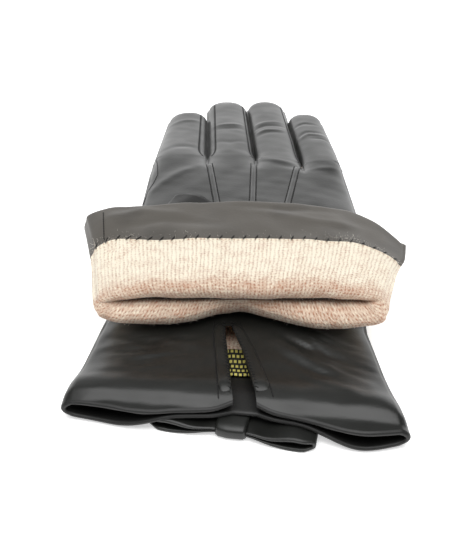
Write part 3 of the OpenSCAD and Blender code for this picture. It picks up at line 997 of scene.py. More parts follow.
        faces = [tuple(q) for q in quads(rows, ring, True)]
        part, seam = [0] * len(faces), [np.zeros(count)]
        is_top = [np.tile(np.arange(ring) < columns, rows), np.zeros(len(webs) * self.SIDES, bool)]
        rights = webs + [last + columns + np.arange(self.SIDES)]
        lefts = [last + 2 * columns + self.SIDES + np.arange(self.SIDES)] + [w[::-1] for w in webs]
        size = 2 * n + 2 * self.SIDES
        for f in range(fingers):
            top_ids = last + (n - 1) * f + np.arange(n)
            under_ids = last + columns + self.SIDES + columns - 1 - (n - 1) * f - np.arange(n)[::-1]
            first = np.concatenate([top_ids, rights[f], under_ids, lefts[f]])
            rings, seams = self.finger(f)
            grid = np.arange(count, count + size * len(rings)).reshape(len(rings), size)
            chain = np.concatenate([first[None], grid])
            faces += [tuple(q) for q in chain.ravel()[quads(len(chain), size, True)]]
            count += size * len(rings)
            faces += [(chain[-1][j], chain[-1][(j + 1) % size], count) for j in range(size)]
            count += 1
            points += [*rings, (rings[-1].mean(0) + [0, 0.02, 0])[None]]
            part += [f + 1] * (len(faces) - len(part))
            seam += [*seams, np.zeros(1)]
            is_top += [np.tile(np.arange(size) < n, len(rings)), np.zeros(1, bool)]
        # Every point gets the full painted shade mark, which only the knit reads: a lining inside a glove
        # lies in shade
        return Skin(np.concatenate(points), [tuple(int(v) for v in q) for q in faces], np.array(part),
                    np.concatenate(is_top), np.concatenate(seam), rows, ring, np.ones(count))


def wrinkle(skin: Skin, creases: list[Crease], seed: int, ripple: float) -> None:
    """Press creases, seams and a soft ripple into the top of a skin.

    Args:
        skin: The skin, changed in place.
        creases: The creases.
        seed: Seed of the ripple.
        ripple: Height of the ripple, in mm.
    """
    x, y = skin.points[:, 0].copy(), skin.points[:, 1].copy()
    lift = ripple * waves(x, y, seed, 34, 6)
    for crease in creases:
        height, dark = crease.press(x, y)
        lift = lift + height
        skin.seam = np.maximum(skin.seam, dark * skin.top)
    lift = lift - 0.42 * skin.seam
    skin.points[:, 2] += np.where(skin.top, lift, 0.3 * np.abs(lift))


class Surface:
    """A mesh that can be felt from above or from below."""

    def __init__(self, obj: bpy.types.Object) -> None:
        """Take the object's faces."""
        self.tree = BVHTree.FromPolygons([v.co.copy() for v in obj.data.vertices],
                                         [list(p.vertices) for p in obj.data.polygons])

    def lay(self, line: np.ndarray, lift: float, above: bool = True) -> tuple[np.ndarray, np.ndarray]:
        """Lay a line of plan points on the surface.

        Args:
            line: Places across and along, in mm.
            lift: Height over the surface, in mm.
            above: False to lay it on the underside.

        Returns:
            The points in mm and the surface's normal at each.
        """
        side = 1 if above else -1
        points, ups = [], []
        for x, y in line:
            start = Vector((x * MM, y * MM, side * 0.2))
            hit, normal, _, _ = self.tree.ray_cast(start, Vector((0, 0, -side)))
            if hit is None:
                continue
            normal = normal if normal.z * side > 0 else -normal
            points.append(np.array(hit) / MM + np.array(normal) * lift)
            ups.append(np.array(normal))
        return np.array(points), np.array(ups)


def sweep(line: np.ndarray, ups: np.ndarray, width: float | np.ndarray, height: float,
          nose: int = 2) -> Shape:
    """Sweep a rounded welt along a line on a surface.

    Args:
        line: Points in mm.
        ups: Direction away from the surface at each point.
        width: Width of the welt, or its width at each point, in mm.
        height: Height of the welt, in mm.
        nose: Points over which each end is rounded off.

    Returns:
        Points and faces of the welt.
    """
    tangent = np.gradient(line, axis=0)
    tangent /= np.linalg.norm(tangent, axis=1)[:, None]
    across = np.cross(tangent, ups)
    turns = np.linspace(0, 2 * math.pi, 16, endpoint=False)
    flat, up = squared_round(turns, 0.8, 0.8)
    place = np.minimum(np.arange(len(line)), np.arange(len(line))[::-1]) / nose
    ends = np.sqrt(np.clip(1 - (1 - np.clip(place, 0.001, 1)) ** 2, 0, 1))
    rings = (line[:, None] + across[:, None] * (flat / 2 * (ends * width)[:, None])[..., None]
             + ups[:, None] * (up * height * ends[:, None])[..., None])
    return rings.reshape(-1, 3), quads(len(line), len(turns), True)[:, ::-1]


def straight(a: Plan, b: Plan, step: float = 1.5) -> np.ndarray:
    """Return plan points from a to b at about the given step."""
    count = max(3, int(math.hypot(b[0] - a[0], b[1] - a[1]) / step))
    return np.linspace(a, b, count)


# ---- the two hands ------------------------------------------------------------

BASE_Y = 39.96
MOUTH_Y = -115.34
FINGERS = ("index", "middle", "ring", "little")
SIDE_STRIPS = {"index": "fourchette", "middle": "fourchettes", "ring": "fourchettes",
               "little": "fourchette"}
# Finger end and cuff end of the three points on each glove's back
POINT_LINES = (((-15.3, 31.0), (-10.6, -14.0)), ((4.7, 31.5), (3.1, -14.0)), ((23.8, 27.5), (16.6, -14.5)))


def thumb_dent(x: np.ndarray, y: np.ndarray) -> np.ndarray:
    """Return 0 to 1: where the two thumbs lie between the palms."""
    return ease((-2 - x) / 7) * ease((y + 24) / 8) * ease((76 - y) / 14)


def stalls(tips: tuple[tuple[float, float, float], ...]) -> tuple[Stall, ...]:
    """Return the four fingers over the bases that both gloves share.

    Args:
        tips: Place across, place along and width of each tip.

    Returns:
        Index, middle, ring and little finger.
    """
    bases = ((-28.7, 24.6), (-5.3, 22.2), (16.2, 20.8), (35.5, 17.8))
    return tuple(Stall(x, w, *tip) for (x, w), tip in zip(bases, tips))


@dataclass
class LowerPlan(HandPlan):
    """The left glove, palm up, pressed flat, with a slit in the palm side of its cuff."""

    bow_lift: float = 4.3
    bow_reach: float = 27.0
    middle: float = -3.8
    mouth_turn: float = 6.4
    slit_end: float = -73.0
    slit_column: int = -1
    lobed: bool = True

    def from_mouth(self, x: np.ndarray, y: np.ndarray) -> np.ndarray:
        """Return the distance from the slanted mouth."""
        return y - MOUTH_Y + math.tan(math.radians(self.mouth_turn)) * (x - self.middle)

    def low(self, x: np.ndarray, y: np.ndarray) -> np.ndarray:
        """Return the underside's height: it rises over the bow at the mouth."""
        over = ease((self.bow_reach + 12 - np.abs(x - self.middle)) / 22)
        return 0.15 + self.bow_lift * over * ease((30 - self.from_mouth(x, y)) / 20)

    def high(self, x: np.ndarray, y: np.ndarray) -> np.ndarray:
        """Return the top's height: it gives way to the thumbs, and stands open at the mouth.

        Args:
            x: Places across, in mm.
            y: Places along, in mm.

        Returns:
            Heights in mm.
        """
        inside = self.from_mouth(x, y)
        roll = 1.5 * np.exp(-((inside - 8) / 6.5) ** 2) - 1.5 * ease((3.5 - inside) / 4)
        return self.high_base - 2.3 * thumb_dent(x, y) + roll

    def wall(self, y: float) -> float:
        """Return the upright share of the side: the turned edge stands open at the mouth."""
        return 0.16 + 0.5 * float(ease((MOUTH_Y + 24 - y) / 24))

    def slant(self, x: np.ndarray, y: np.ndarray) -> np.ndarray:
        """Return the mouth's slant across the glove, with a lobe at each side of the slit.

        Args:
            x: Places across, in mm.
            y: Places along, in mm.

        Returns:
            How far each place is moved along the glove, in mm.
        """
        turn = -math.tan(math.radians(self.mouth_turn)) * (x - self.middle)
        lobes = (3.0 * np.exp(-((x + 1) / 7) ** 2) - 2.6 * np.exp(-((x + 33) / 13) ** 2)
                 - 4.6 * np.exp(-((x - 33) / 13) ** 2))
        return (turn * (1 - ease((y - MOUTH_Y) / 62))
                + self.lobed * lobes * (1 - ease((y - MOUTH_Y) / 18)))

    def edges(self, y: float) -> tuple[float, float]:
        """Return the slit's left and right edge at a place along the cuff."""
        left = float(np.interp(y, [-118, -93, -78, -73], [-4.3, -6.0, -7.2, -6.9]))
        right = float(np.interp(y, [-118, -112, -100, -87, -78, -73], [3.0, 2.4, 1.0, -1.3, -3.7, -5.2]))
        return left, right

    def warp(self, x: np.ndarray, y: float) -> np.ndarray:
        """Return the columns moved to the two sides of the slit.

        Args:
            x: Places across of the columns, in mm.
            y: The row's place along the cuff, in mm.

        Returns:
            The columns' new places across.
        """
        if self.slit_column < 0:
            self.slit_column = int(np.argmin(np.abs(x + 3.0)))
        k = self.slit_column
        left, right = self.edges(y)
        moved = x.copy()
        moved[:k + 1] = x[0] + (x[:k + 1] - x[0]) * (left - x[0]) / (x[k] - x[0])
        moved[k + 1:] = x[-1] - (x[-1] - x[k + 1:]) * (x[-1] - right) / (x[-1] - x[k + 1])
        return x + (moved - x) * (1 - float(ease((y + 72) / 18)))


@dataclass
class UpperPlan(HandPlan):
    """The right glove, back up, plump over the thumbs."""

    def low(self, x: np.ndarray, y: np.ndarray) -> np.ndarray:
        """Return the underside's height: it gives way to the thumbs."""
        return self.low_base + 2.6 * thumb_dent(x, y)

    def high(self, x: np.ndarray, y: np.ndarray) -> np.ndarray:
        """Return the top's height: it thins towards the turned-back cuff."""
        return self.high_base - 0.9 * ease((-30 - y) / 25)


@dataclass
class LowerGlove:
    """The left glove: hand, fingers, cuff with its facing, slit, label and points."""

    dress: Dress
    body: str = "lower_glove"
    facing_depth: float = 26.0
    wall: float = 1.7
    label_y: Plan = (-94.4, -78.0)
    label_lift: float = 2.75
    strip_rise: float = 0.65

    def plan(self) -> LowerPlan:
        """Return the glove's shape."""
        return LowerPlan(stalls(((-30.0, 109.5, 17.5), (-8.0, 125.0, 17.0), (12.6, 125.0, 16.0),
                                 (33.6, 105.0, 14.5))),
                         start=MOUTH_Y, base=BASE_Y, web_shift=(0.0, 1.5, 1.0, -4.0, -4.0),
                         edge_stops=[-118.0, -71.3, -15.3, 40.0], left_edge=[-56.0, -50.2, -42.0, -41.0],
                         right_edge=[46.4, 41.6, 44.2, 44.4], low_base=0.0, high_base=9.6, low_tip=0.0,
                         high_tip=9.6)

    def creases(self) -> list[Crease]:
        """Return the folds of the cuff."""
        return [Crease(((8, -80), (18, -92), (30, -101), (42, -106)), 0.6, 2.2),
                Crease(((8, -74), (20, -86), (42, -97)), -0.6, 1.6),
                Crease(((10, -88), (22, -99), (36, -104)), -0.5, 1.3),
                Crease(((12, -94), (22, -104), (34, -109)), 0.45, 1.2),
                Crease(((14, -78), (26, -84), (42, -90)), 0.4, 1.2),
                Crease(((-47, -88), (-34, -90), (-20, -88)), 0.3, 1.4),
                Crease(((-50, -84), (-30, -80), (-13, -86)), 0.4, 2.0),
                Crease(((-49, -77), (-34, -83), (-14, -80)), -0.35, 1.5),
                Crease(((-52, -98), (-30, -101), (-13, -99)), -0.4, 2.6)]

    def fine_creases(self) -> list[Crease]:
        """Draw seeded fine creases that fan out from the slit over both halves of the cuff.

        Returns:
            The creases.
        """
        rng = np.random.default_rng(41)
        out = []
        for x, reach, drop, count in ((8.0, 1.0, 0.75, 26), (-14.0, -1.0, 0.15, 12)):
            for _ in range(count):
                a, b = x + reach * rng.uniform(0, 18), rng.uniform(-100, -75)
                run, height = rng.uniform(9, 19), rng.choice([-1.0, 1.0]) * rng.uniform(0.14, 0.3)
                line = ((a, b), (a + 0.45 * reach * run, b - 0.55 * drop * run),
                        (a + reach * run, b - 0.85 * drop * run))
                out.append(Crease(line, height, 0.8))
        return out

    def build(self) -> None:
        """Build and dress the glove."""
        plan = self.plan()
        skin = HandSkin(plan).build()
        wrinkle(skin, self.creases() + self.fine_creases(), 11, 0.28)
        leather = skin.cut("lower_glove_leather", self.outside_slit(skin, plan), self.dress.nappa)
        settle(leather, Slot.NAPPA, "lower_trank", *[f"lower_{f}_leather" for f in FINGERS],
               "lower_fourchettes", body=self.body)
        settle(self.facing(skin, plan), Slot.FACING, "lower_facing", body=self.body)
        settle(self.lining(plan), Slot.LINING, "lower_lining", body=self.body)
        surface, stitch = Surface(leather), StitchTree()
        self.binding(surface, stitch, plan)
        self.label(plan)
        self.overcast(stitch, plan)
        self.points(surface)

    @staticmethod
    def outside_slit(skin: Skin, plan: LowerPlan) -> np.ndarray:
        """Find the faces that aren't in the slit.

        Args:
            skin: The leather.
            plan: The glove's shape.

        Returns:
            True for each face that stays.
        """
        keep = np.ones(len(skin.faces), bool)
        for i in range(skin.rows - 1):
            if skin.points[(i + 1) * skin.ring + plan.slit_column, 1] < plan.slit_end:
                keep[i * skin.ring + plan.slit_column] = False
        return keep

    def facing(self, skin: Skin, plan: LowerPlan) -> bpy.types.Object:
        """Make the leather band inside the mouth, joined to the outside by the turned edge.

        Args:
            skin: The leather outside.
            plan: The glove's shape.

        Returns:
            The band.
        """
        inner = HandSkin(plan, self.wall).build()
        wrinkle(inner, [], 23, 0.35)
        rows, ring = int(self.facing_depth / 1.1), skin.ring
        inside = inner.points[:rows * ring].reshape(rows, ring, 3)[::-1]
        outer, mouth = skin.points[:ring], inner.points[:ring]
        middle, half = (outer + mouth) / 2, (outer - mouth) / 2
        turns = np.radians([30, 60, 90, 120, 150])
        edge = np.stack([middle - half * math.cos(t) - [0, 1.1 * math.sin(t), 0] for t in turns])
        grid = np.concatenate([inside, edge, outer[None]])
        faces = quads(len(grid), ring, True)
        row, column = np.divmod(np.arange(len(faces)), ring)
        in_slit = (column == plan.slit_column) & (grid[row, plan.slit_column, 1] < plan.slit_end)
        # The band inside the mouth takes the shaded copy of the facing leather: painted shade
        return make_piece("lower_glove_facing", grid.reshape(-1, 3), faces[~in_slit], self.dress.shaded)

    def lining(self, plan: LowerPlan) -> bpy.types.Object:
        """Make the knitted glove inside the leather.

        Args:
            plan: The glove's shape.

        Returns:
            The lining, open under the slit.
        """
        coarse = replace(plan, slit_column=-1, start=MOUTH_Y + self.facing_depth - 1.5, lobed=False)
        skin = HandSkin(coarse, 1.15, fine=False).build()
        centre = np.array([skin.points[list(face)].mean(0) for face in skin.faces])
        over_slit = ((centre[:, 2] > plan.high_base / 2) & (centre[:, 1] < plan.slit_end + 3.5)
                     & (np.abs(centre[:, 0] + 3.0) < 7.5))
        obj = skin.cut("lower_glove_lining", ~over_slit, self.dress.jersey, skin.points[:, :2])
        return thicken(obj, 1.2)

    def binding(self, surface: Surface, stitch: StitchTree, plan: LowerPlan) -> None:
        """Add the slit's two bound edges, the groove beside each and its slanted stitches.

        Args:
            surface: The glove's leather.
            stitch: The tree that sews.
            plan: The glove's shape.
        """
        ys = np.linspace(MOUTH_Y + 3.7, -72.0, 42)
        edges = np.array([plan.edges(float(y)) for y in ys])
        strips, seams, ups, bars, bar_ups = [], [], [], [], []
        for side, sign, widths in ((0, -1, (4.2, 4.2)), (1, 1, (5.4, 3.2))):
            wide = np.interp(ys, [ys[0], ys[-1]], widths)
            middle = edges[:, side] + sign * (wide / 2 - 0.2)
            feel, normal = surface.lay(np.stack([edges[:, side] + sign * 1.4, ys], -1), 0.15)
            feel[:, 0] = middle
            feel[:6, 2] -= [1.25, 0.95, 0.65, 0.4, 0.2, 0.08]
            strips.append(sweep(feel, normal, wide, self.strip_rise, 5))
            line, up = surface.lay(np.stack([middle + sign * (wide / 2 + 0.15), ys], -1), 0.05)
            seams.append(line)
            ups.append(up)
            bars.append(feel + [-sign * 0.55, 0, 0.62] - np.array([sign, 0, 0]) * wide[:, None] * 0.18)
            bar_ups.append(normal)
        piece = make_piece("lower_slit_binding", *join(strips), self.dress.nappa)
        settle(piece, Slot.NAPPA, "lower_vent_binding", body=self.body)
        groove = stitch.sew("lower_slit_seams", seams, ups, 1.4, 1.9, 0.5, 0, self.dress.thread)
        settle(groove, Slot.THREAD, body=self.body)
        sewn = stitch.sew("lower_slit_stitches", bars, bar_ups, 1.7, 1.6, 0.36, 58, self.dress.thread)
        settle(sewn, Slot.THREAD, body=self.body)

    def label(self, plan: LowerPlan) -> None:
        """Lay the woven label on the lining, behind the slit."""
        low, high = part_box("lower_label")
        u, v = np.meshgrid(np.linspace(low.x / MM - 1.5, high.x / MM, 9), np.linspace(*self.label_y, 9))
        flat = np.stack([u, v, self.label_lift + plan.low(u, v) + 0.12 * np.sin(u)], -1).reshape(-1, 3)
        label = make_piece("lower_woven_label", flat, quads(9, 9, False), self.dress.tape,
                           flat[:, :2] - [low.x / MM, self.label_y[0]])
        settle(thicken(label, 0.35), Slot.LABEL, "lower_label", body=self.body)

    def overcast(self, stitch: StitchTree, plan: LowerPlan) -> None:
        """Sew facing and lining together inside the cuff."""
        x = np.linspace(-46, 40, 40)
        y = MOUTH_Y + self.facing_depth + 0.5 - 0.11 * (x - plan.middle)
        line, up = np.stack([x, y, plan.low(x, y) + 1.9], -1), np.tile([0.0, 0.0, 1.0], (len(x), 1))
        sewn = stitch.sew("lower_overcast_stitches", [line], [up], 4.4, 3.0, 0.45, 70, self.dress.thread)
        settle(sewn, Slot.THREAD, "lower_facing_stitches", body=self.body)

    def points(self, surface: Surface) -> None:
        """Add the three raised points on the back, which lies on the table."""
        welts = []
        for top, bottom in POINT_LINES:
            welts.append(sweep(*surface.lay(straight(bottom, top), -0.12, above=False), 1.7, 0.24))
        piece = make_piece("lower_points_welts", *join(welts), self.dress.nappa)
        settle(piece, Slot.NAPPA, "lower_points", body=self.body)


@dataclass
class UpperGlove:
    """The right glove's hand and fingers, with its points and linings."""

    dress: Dress
    body: str = "upper_glove"
    bend_from: float = 2.4
    bend_length: float = 14.0
    side_seam: tuple[Plan, ...] = ((-42.0, -1.5), (-40.8, 7.9), (-38.8, 14.8), (-37.7, 22.0), (-38.4, 30.0),
                                   (-39.6, 38.5))

    def plan(self) -> UpperPlan:
        """Return the glove's shape."""
        return UpperPlan(stalls(((-28.2, 110.5, 19.0), (-8.2, 127.0, 20.6), (12.6, 127.0, 19.2),
                                 (32.4, 107.0, 16.8))),
                         start=-60.0, base=BASE_Y, web_shift=(0.0, 1.6, 0.2, -6.4, -6.0),
                         edge_stops=[-62.0, -15.3, 20.0, 40.0], left_edge=[-42.0, -41.6, -41.0, -40.8],
                         right_edge=[40.5, 45.2, 44.4, 44.0], low_base=12.5, high_base=24.8, low_tip=10.6,
                         high_tip=20.9)

    def creases(self) -> list[Crease]:
        """Return the ridges and folds of a worn glove's back."""
        return [Crease(((-42, 2), (-36, 11), (-28.7, 20.6), (-18, 30)), 0.4, 2.4),
                Crease(((6.5, 37.5), (14.1, 34.0), (25.5, 30)), 0.25, 1.6),
                Crease(((12, 30.3), (19.8, 27.0), (25.5, 26)), -0.15, 1.8),
                Crease(((27.0, 23.5), (33.9, 25.6), (44, 27)), 0.15, 1.6),
                Crease(((24.6, 83.1), (31.8, 86.9), (38.2, 84)), -0.4, 1.3),
                Crease(((25.7, 63.4), (31.9, 69.6), (40.8, 67.5)), 0.45, 1.3),
                Crease(((25, 66.5), (32, 73.6), (40.0, 71.5)), -0.4, 1.3),
                Crease(((32, 63.5), (38.3, 63.2), (41.5, 60.8)), -0.4, 1.2),
                Crease(((4, 84.5), (12, 87.2), (21, 87)), 0.3, 1.3),
                Crease(((4, 79.5), (12, 82.2), (21, 81)), -0.45, 1.5),
                Crease(((5, 72.6), (11, 75.6), (21, 75)), 0.35, 1.2),
                Crease(((6, 69), (13, 72), (21, 71.5)), -0.3, 1.6),
                Crease(((-15, 83.1), (-7.3, 83.3), (1.8, 84)), 0.35, 1.4),
                Crease(((-14, 78), (-7, 77.4), (2, 79)), -0.35, 2.0),
                Crease(((-14, 60), (-6, 57.4), (3, 61)), -0.2, 1.8),
                Crease(((-37.8, 84.3), (-30, 91), (-20.4, 92.4)), 0.35, 1.8),
                Crease(((-39, 46), (-31, 51.5), (-20, 52)), -0.25, 2.2)]

    def build(self) -> None:
        """Build and dress hand and fingers."""
        plan = self.plan()
        skin = HandSkin(plan).build()
        wrinkle(skin, self.creases(), 5, 0.13)
        hand = skin.cut("upper_hand_leather", skin.part == 0, self.dress.nappa)
        settle(hand, Slot.NAPPA, "upper_trank", body=self.body)
        inner = HandSkin(plan, 1.1, fine=False).build()
        for i, finger in enumerate(FINGERS):
            leather = skin.cut(f"upper_{finger}_finger", skin.part == i + 1, self.dress.nappa)
            lining = inner.cut(f"upper_{finger}_finger_lining", inner.part == i + 1, self.dress.jersey,
                               inner.points[:, :2])
            settle(leather, Slot.NAPPA, f"upper_{finger}_leather", f"upper_{finger}_{SIDE_STRIPS[finger]}")
            settle(thicken(lining, 1.2), Slot.LINING, f"upper_{finger}_lining")
            for piece in (leather, lining):
                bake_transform(piece)
        self.points(Surface(hand))

    def points(self, surface: Surface) -> None:
        """Add the three raised and stitched points on the back, and the side seam.

        Args:
            surface: The leather of the hand.
        """
        welts, lines, ups = [], [], []
        for top, bottom in POINT_LINES:
            line = straight(bottom, top)
            welts.append(sweep(*surface.lay(line, 0.0), 2.0, 0.62))
            for side in (-1, 1):
                seam, up = surface.lay(line + [side * 1.35, 0], 0.05)
                lines.append(seam)
                ups.append(up)
        side = np.array(self.side_seam)
        place = np.linspace(0, len(side) - 1, 40)
        bend = np.stack([np.interp(place, np.arange(len(side)), side[:, k]) for k in (0, 1)], -1)
        seam, up = surface.lay(bend, 0.0)
        self.sew("upper_side_seam", [seam], [up], 1.2)
        welt = make_piece("upper_points_welts", *join(welts), self.dress.nappa)
        settle(welt, Slot.NAPPA, "upper_points", body=self.body)
        self.sew("upper_points_stitches", lines, ups, 1.6)

    def sew(self, name: str, lines: list[np.ndarray], ups: list[np.ndarray], step: float) -> None:
        """Sew a close row of stitches along lines on the hand."""
        piece = StitchTree().sew(name, lines, ups, step, step, 0.5, 0, self.dress.thread)
        settle(piece, Slot.THREAD, body=self.body)


@dataclass
class Thumb:
    """A thumb stall pressed flat between the palms."""

    AROUND = 64

    dress: Dress
    body: str
    middle: Point
    width: float = 26.0
    length: float = 58.0
    height: float = 3.6

    def pillow(self, inset: float) -> tuple[np.ndarray, list[tuple[int, ...]]]:
        """Shape the flat stall.

        Args:
            inset: How far it is drawn in, in mm.

        Returns:
            Points and faces.
        """
        turns = np.linspace(0, 2 * math.pi, self.AROUND, endpoint=False)
        half = self.height / 2 - inset
        y = np.where(np.sin(turns) > 0, self.length - self.width, 0.0)
        rings = []
        for level in np.radians([-89, -70, -45, -20, 0, 20, 45, 70, 89]):
            r = (self.width / 2 - inset) - 1.3 * half * (1 - math.cos(level))
            if abs(level) > 1.5:
                r *= 0.5
            z = np.full(self.AROUND, self.height / 2 + half * math.sin(level))
            rings.append(self.middle + np.stack([r * np.cos(turns), y + r * np.sin(turns), z], -1))
        return np.concatenate(rings), capped(len(rings), self.AROUND)

    def build(self) -> None:
        """Build and dress the leather and the lining."""
        for kind, inset, finish, slot in (("leather", 0.0, self.dress.nappa, Slot.NAPPA),
                                          ("lining", 0.75, self.dress.jersey, Slot.LINING)):
            points, faces = self.pillow(inset)
            piece = make_piece(f"{self.body}_{kind}_stall", points, faces, finish, points[:, :2])
            settle(piece, slot, f"{self.body}_{kind}", body=self.body)


@dataclass
class Bow:
    """A flat bow: two open loops of one strip, and a band round its middle."""

    AROUND = 40

    finish: bpy.types.Material
    name: str
    body: str
    middle: Point
    turn: float
    width: float = 49.0
    depth: float = 16.5
    height: float = 4.0
    tilt: float = 0.0
    knot: float = 9.6
    leather: float = 0.9

    def place(self, points: np.ndarray) -> np.ndarray:
        """Turn and move points from the bow's own frame.

        Args:
            points: Points with the strip along x, in mm.

        Returns:
            The points on the cuff.
        """
        t = math.radians(self.turn)
        x = points[:, 0] * math.cos(t) - points[:, 1] * math.sin(t) + self.middle[0]
        y = points[:, 0] * math.sin(t) + points[:, 1] * math.cos(t) + self.middle[1]
        z = points[:, 2] + self.middle[2] + math.tan(math.radians(self.tilt)) * points[:, 1]
        return np.stack([x, y, z], -1)

    def loop(self, side: int) -> Shape:
        """Shape one loop: a flat tube, pinched at the knot and open front and back.

        Args:
            side: -1 for the left loop, 1 for the right one.

        Returns:
            Points and faces.
        """
        turns = np.linspace(0, 2 * math.pi, self.AROUND, endpoint=False)
        start, end = self.knot * 0.32, self.width / 2
        mid, half = (start + end) / 2, (end - start) / 2
        u = np.cos(turns)
        z = squared_round(turns, 1.0, 0.55)[1] * (0.3 + 0.7 * ease((u + 0.7) / 1.2))
        rings = []
        for inward, way in ((0.0, 1), (self.leather, -1)):
            for v in np.linspace(-way, way, 13):
                x = mid + u * (half - inward)
                pinch = 1 - 0.2 * ease(1 - (x - start) / 10)
                y = v * self.depth / 2 * pinch * (1 - 0.22 * ease((x - end + 4) / 4))
                zz = z * (self.height / 2 - inward)
                sag = 0.25 * np.sin(x * 0.45 + v * 1.5)
                rings.append(np.stack([side * x, y, self.height / 2 + zz + sag * (zz > 0)], -1))
        rings.append(rings[0])
        faces = quads(len(rings), self.AROUND, True)
        faces %= (len(rings) - 1) * self.AROUND
        return np.concatenate(rings[:-1]), faces if side < 0 else faces[:, ::-1]

    def band(self) -> tuple[np.ndarray, list[tuple[int, ...]]]:
        """Shape the knot band: a plump ring round the strip, flat where it lies on the table.

        Returns:
            Points and faces.
        """
        turns = np.linspace(0, 2 * math.pi, 36, endpoint=False)
        depth, height = (self.depth * 0.8 + 1.8) / 2, self.height / 2 + 0.1
        flat, up = squared_round(turns, 0.5, 0.6)
        rings = []
        for x, swell in ((-0.5, 0.75), (-0.49, 0.9), (-0.4, 1.0), (-0.1, 1.05), (0.15, 1.03), (0.4, 1.0),
                         (0.49, 0.9), (0.5, 0.75)):
            z = np.maximum(self.height / 2 + up * height * swell, 0.0)
            rings.append(np.stack([np.full(len(turns), x * self.knot), flat * depth * swell, z], -1))
        return np.concatenate(rings), capped(len(rings), len(turns))

    def build(self) -> None:
        """Build and dress the bow."""
        for kind, (points, faces), node in (("loops_strip", join([self.loop(-1), self.loop(1)]), "loops"),
                                            ("knot_band", self.band(), "knot")):
            piece = make_piece(f"{self.name}_{kind}", self.place(points), faces, self.finish)
            work = bmesh.new()
            work.from_mesh(piece.data)
            bmesh.ops.recalc_face_normals(work, faces=work.faces)
            work.to_mesh(piece.data)
            work.free()
            settle(piece, Slot.NAPPA, f"{self.name}_{node}", body=self.body)


# ---- the turned-back cuff -----------------------------------------------------


@dataclass(frozen=True)
class Hoop:
    """One ring of the cuff on its way from the inside of the wrist to the hem."""

    top: Plan
    under: Plan
    middle: float
    half: float


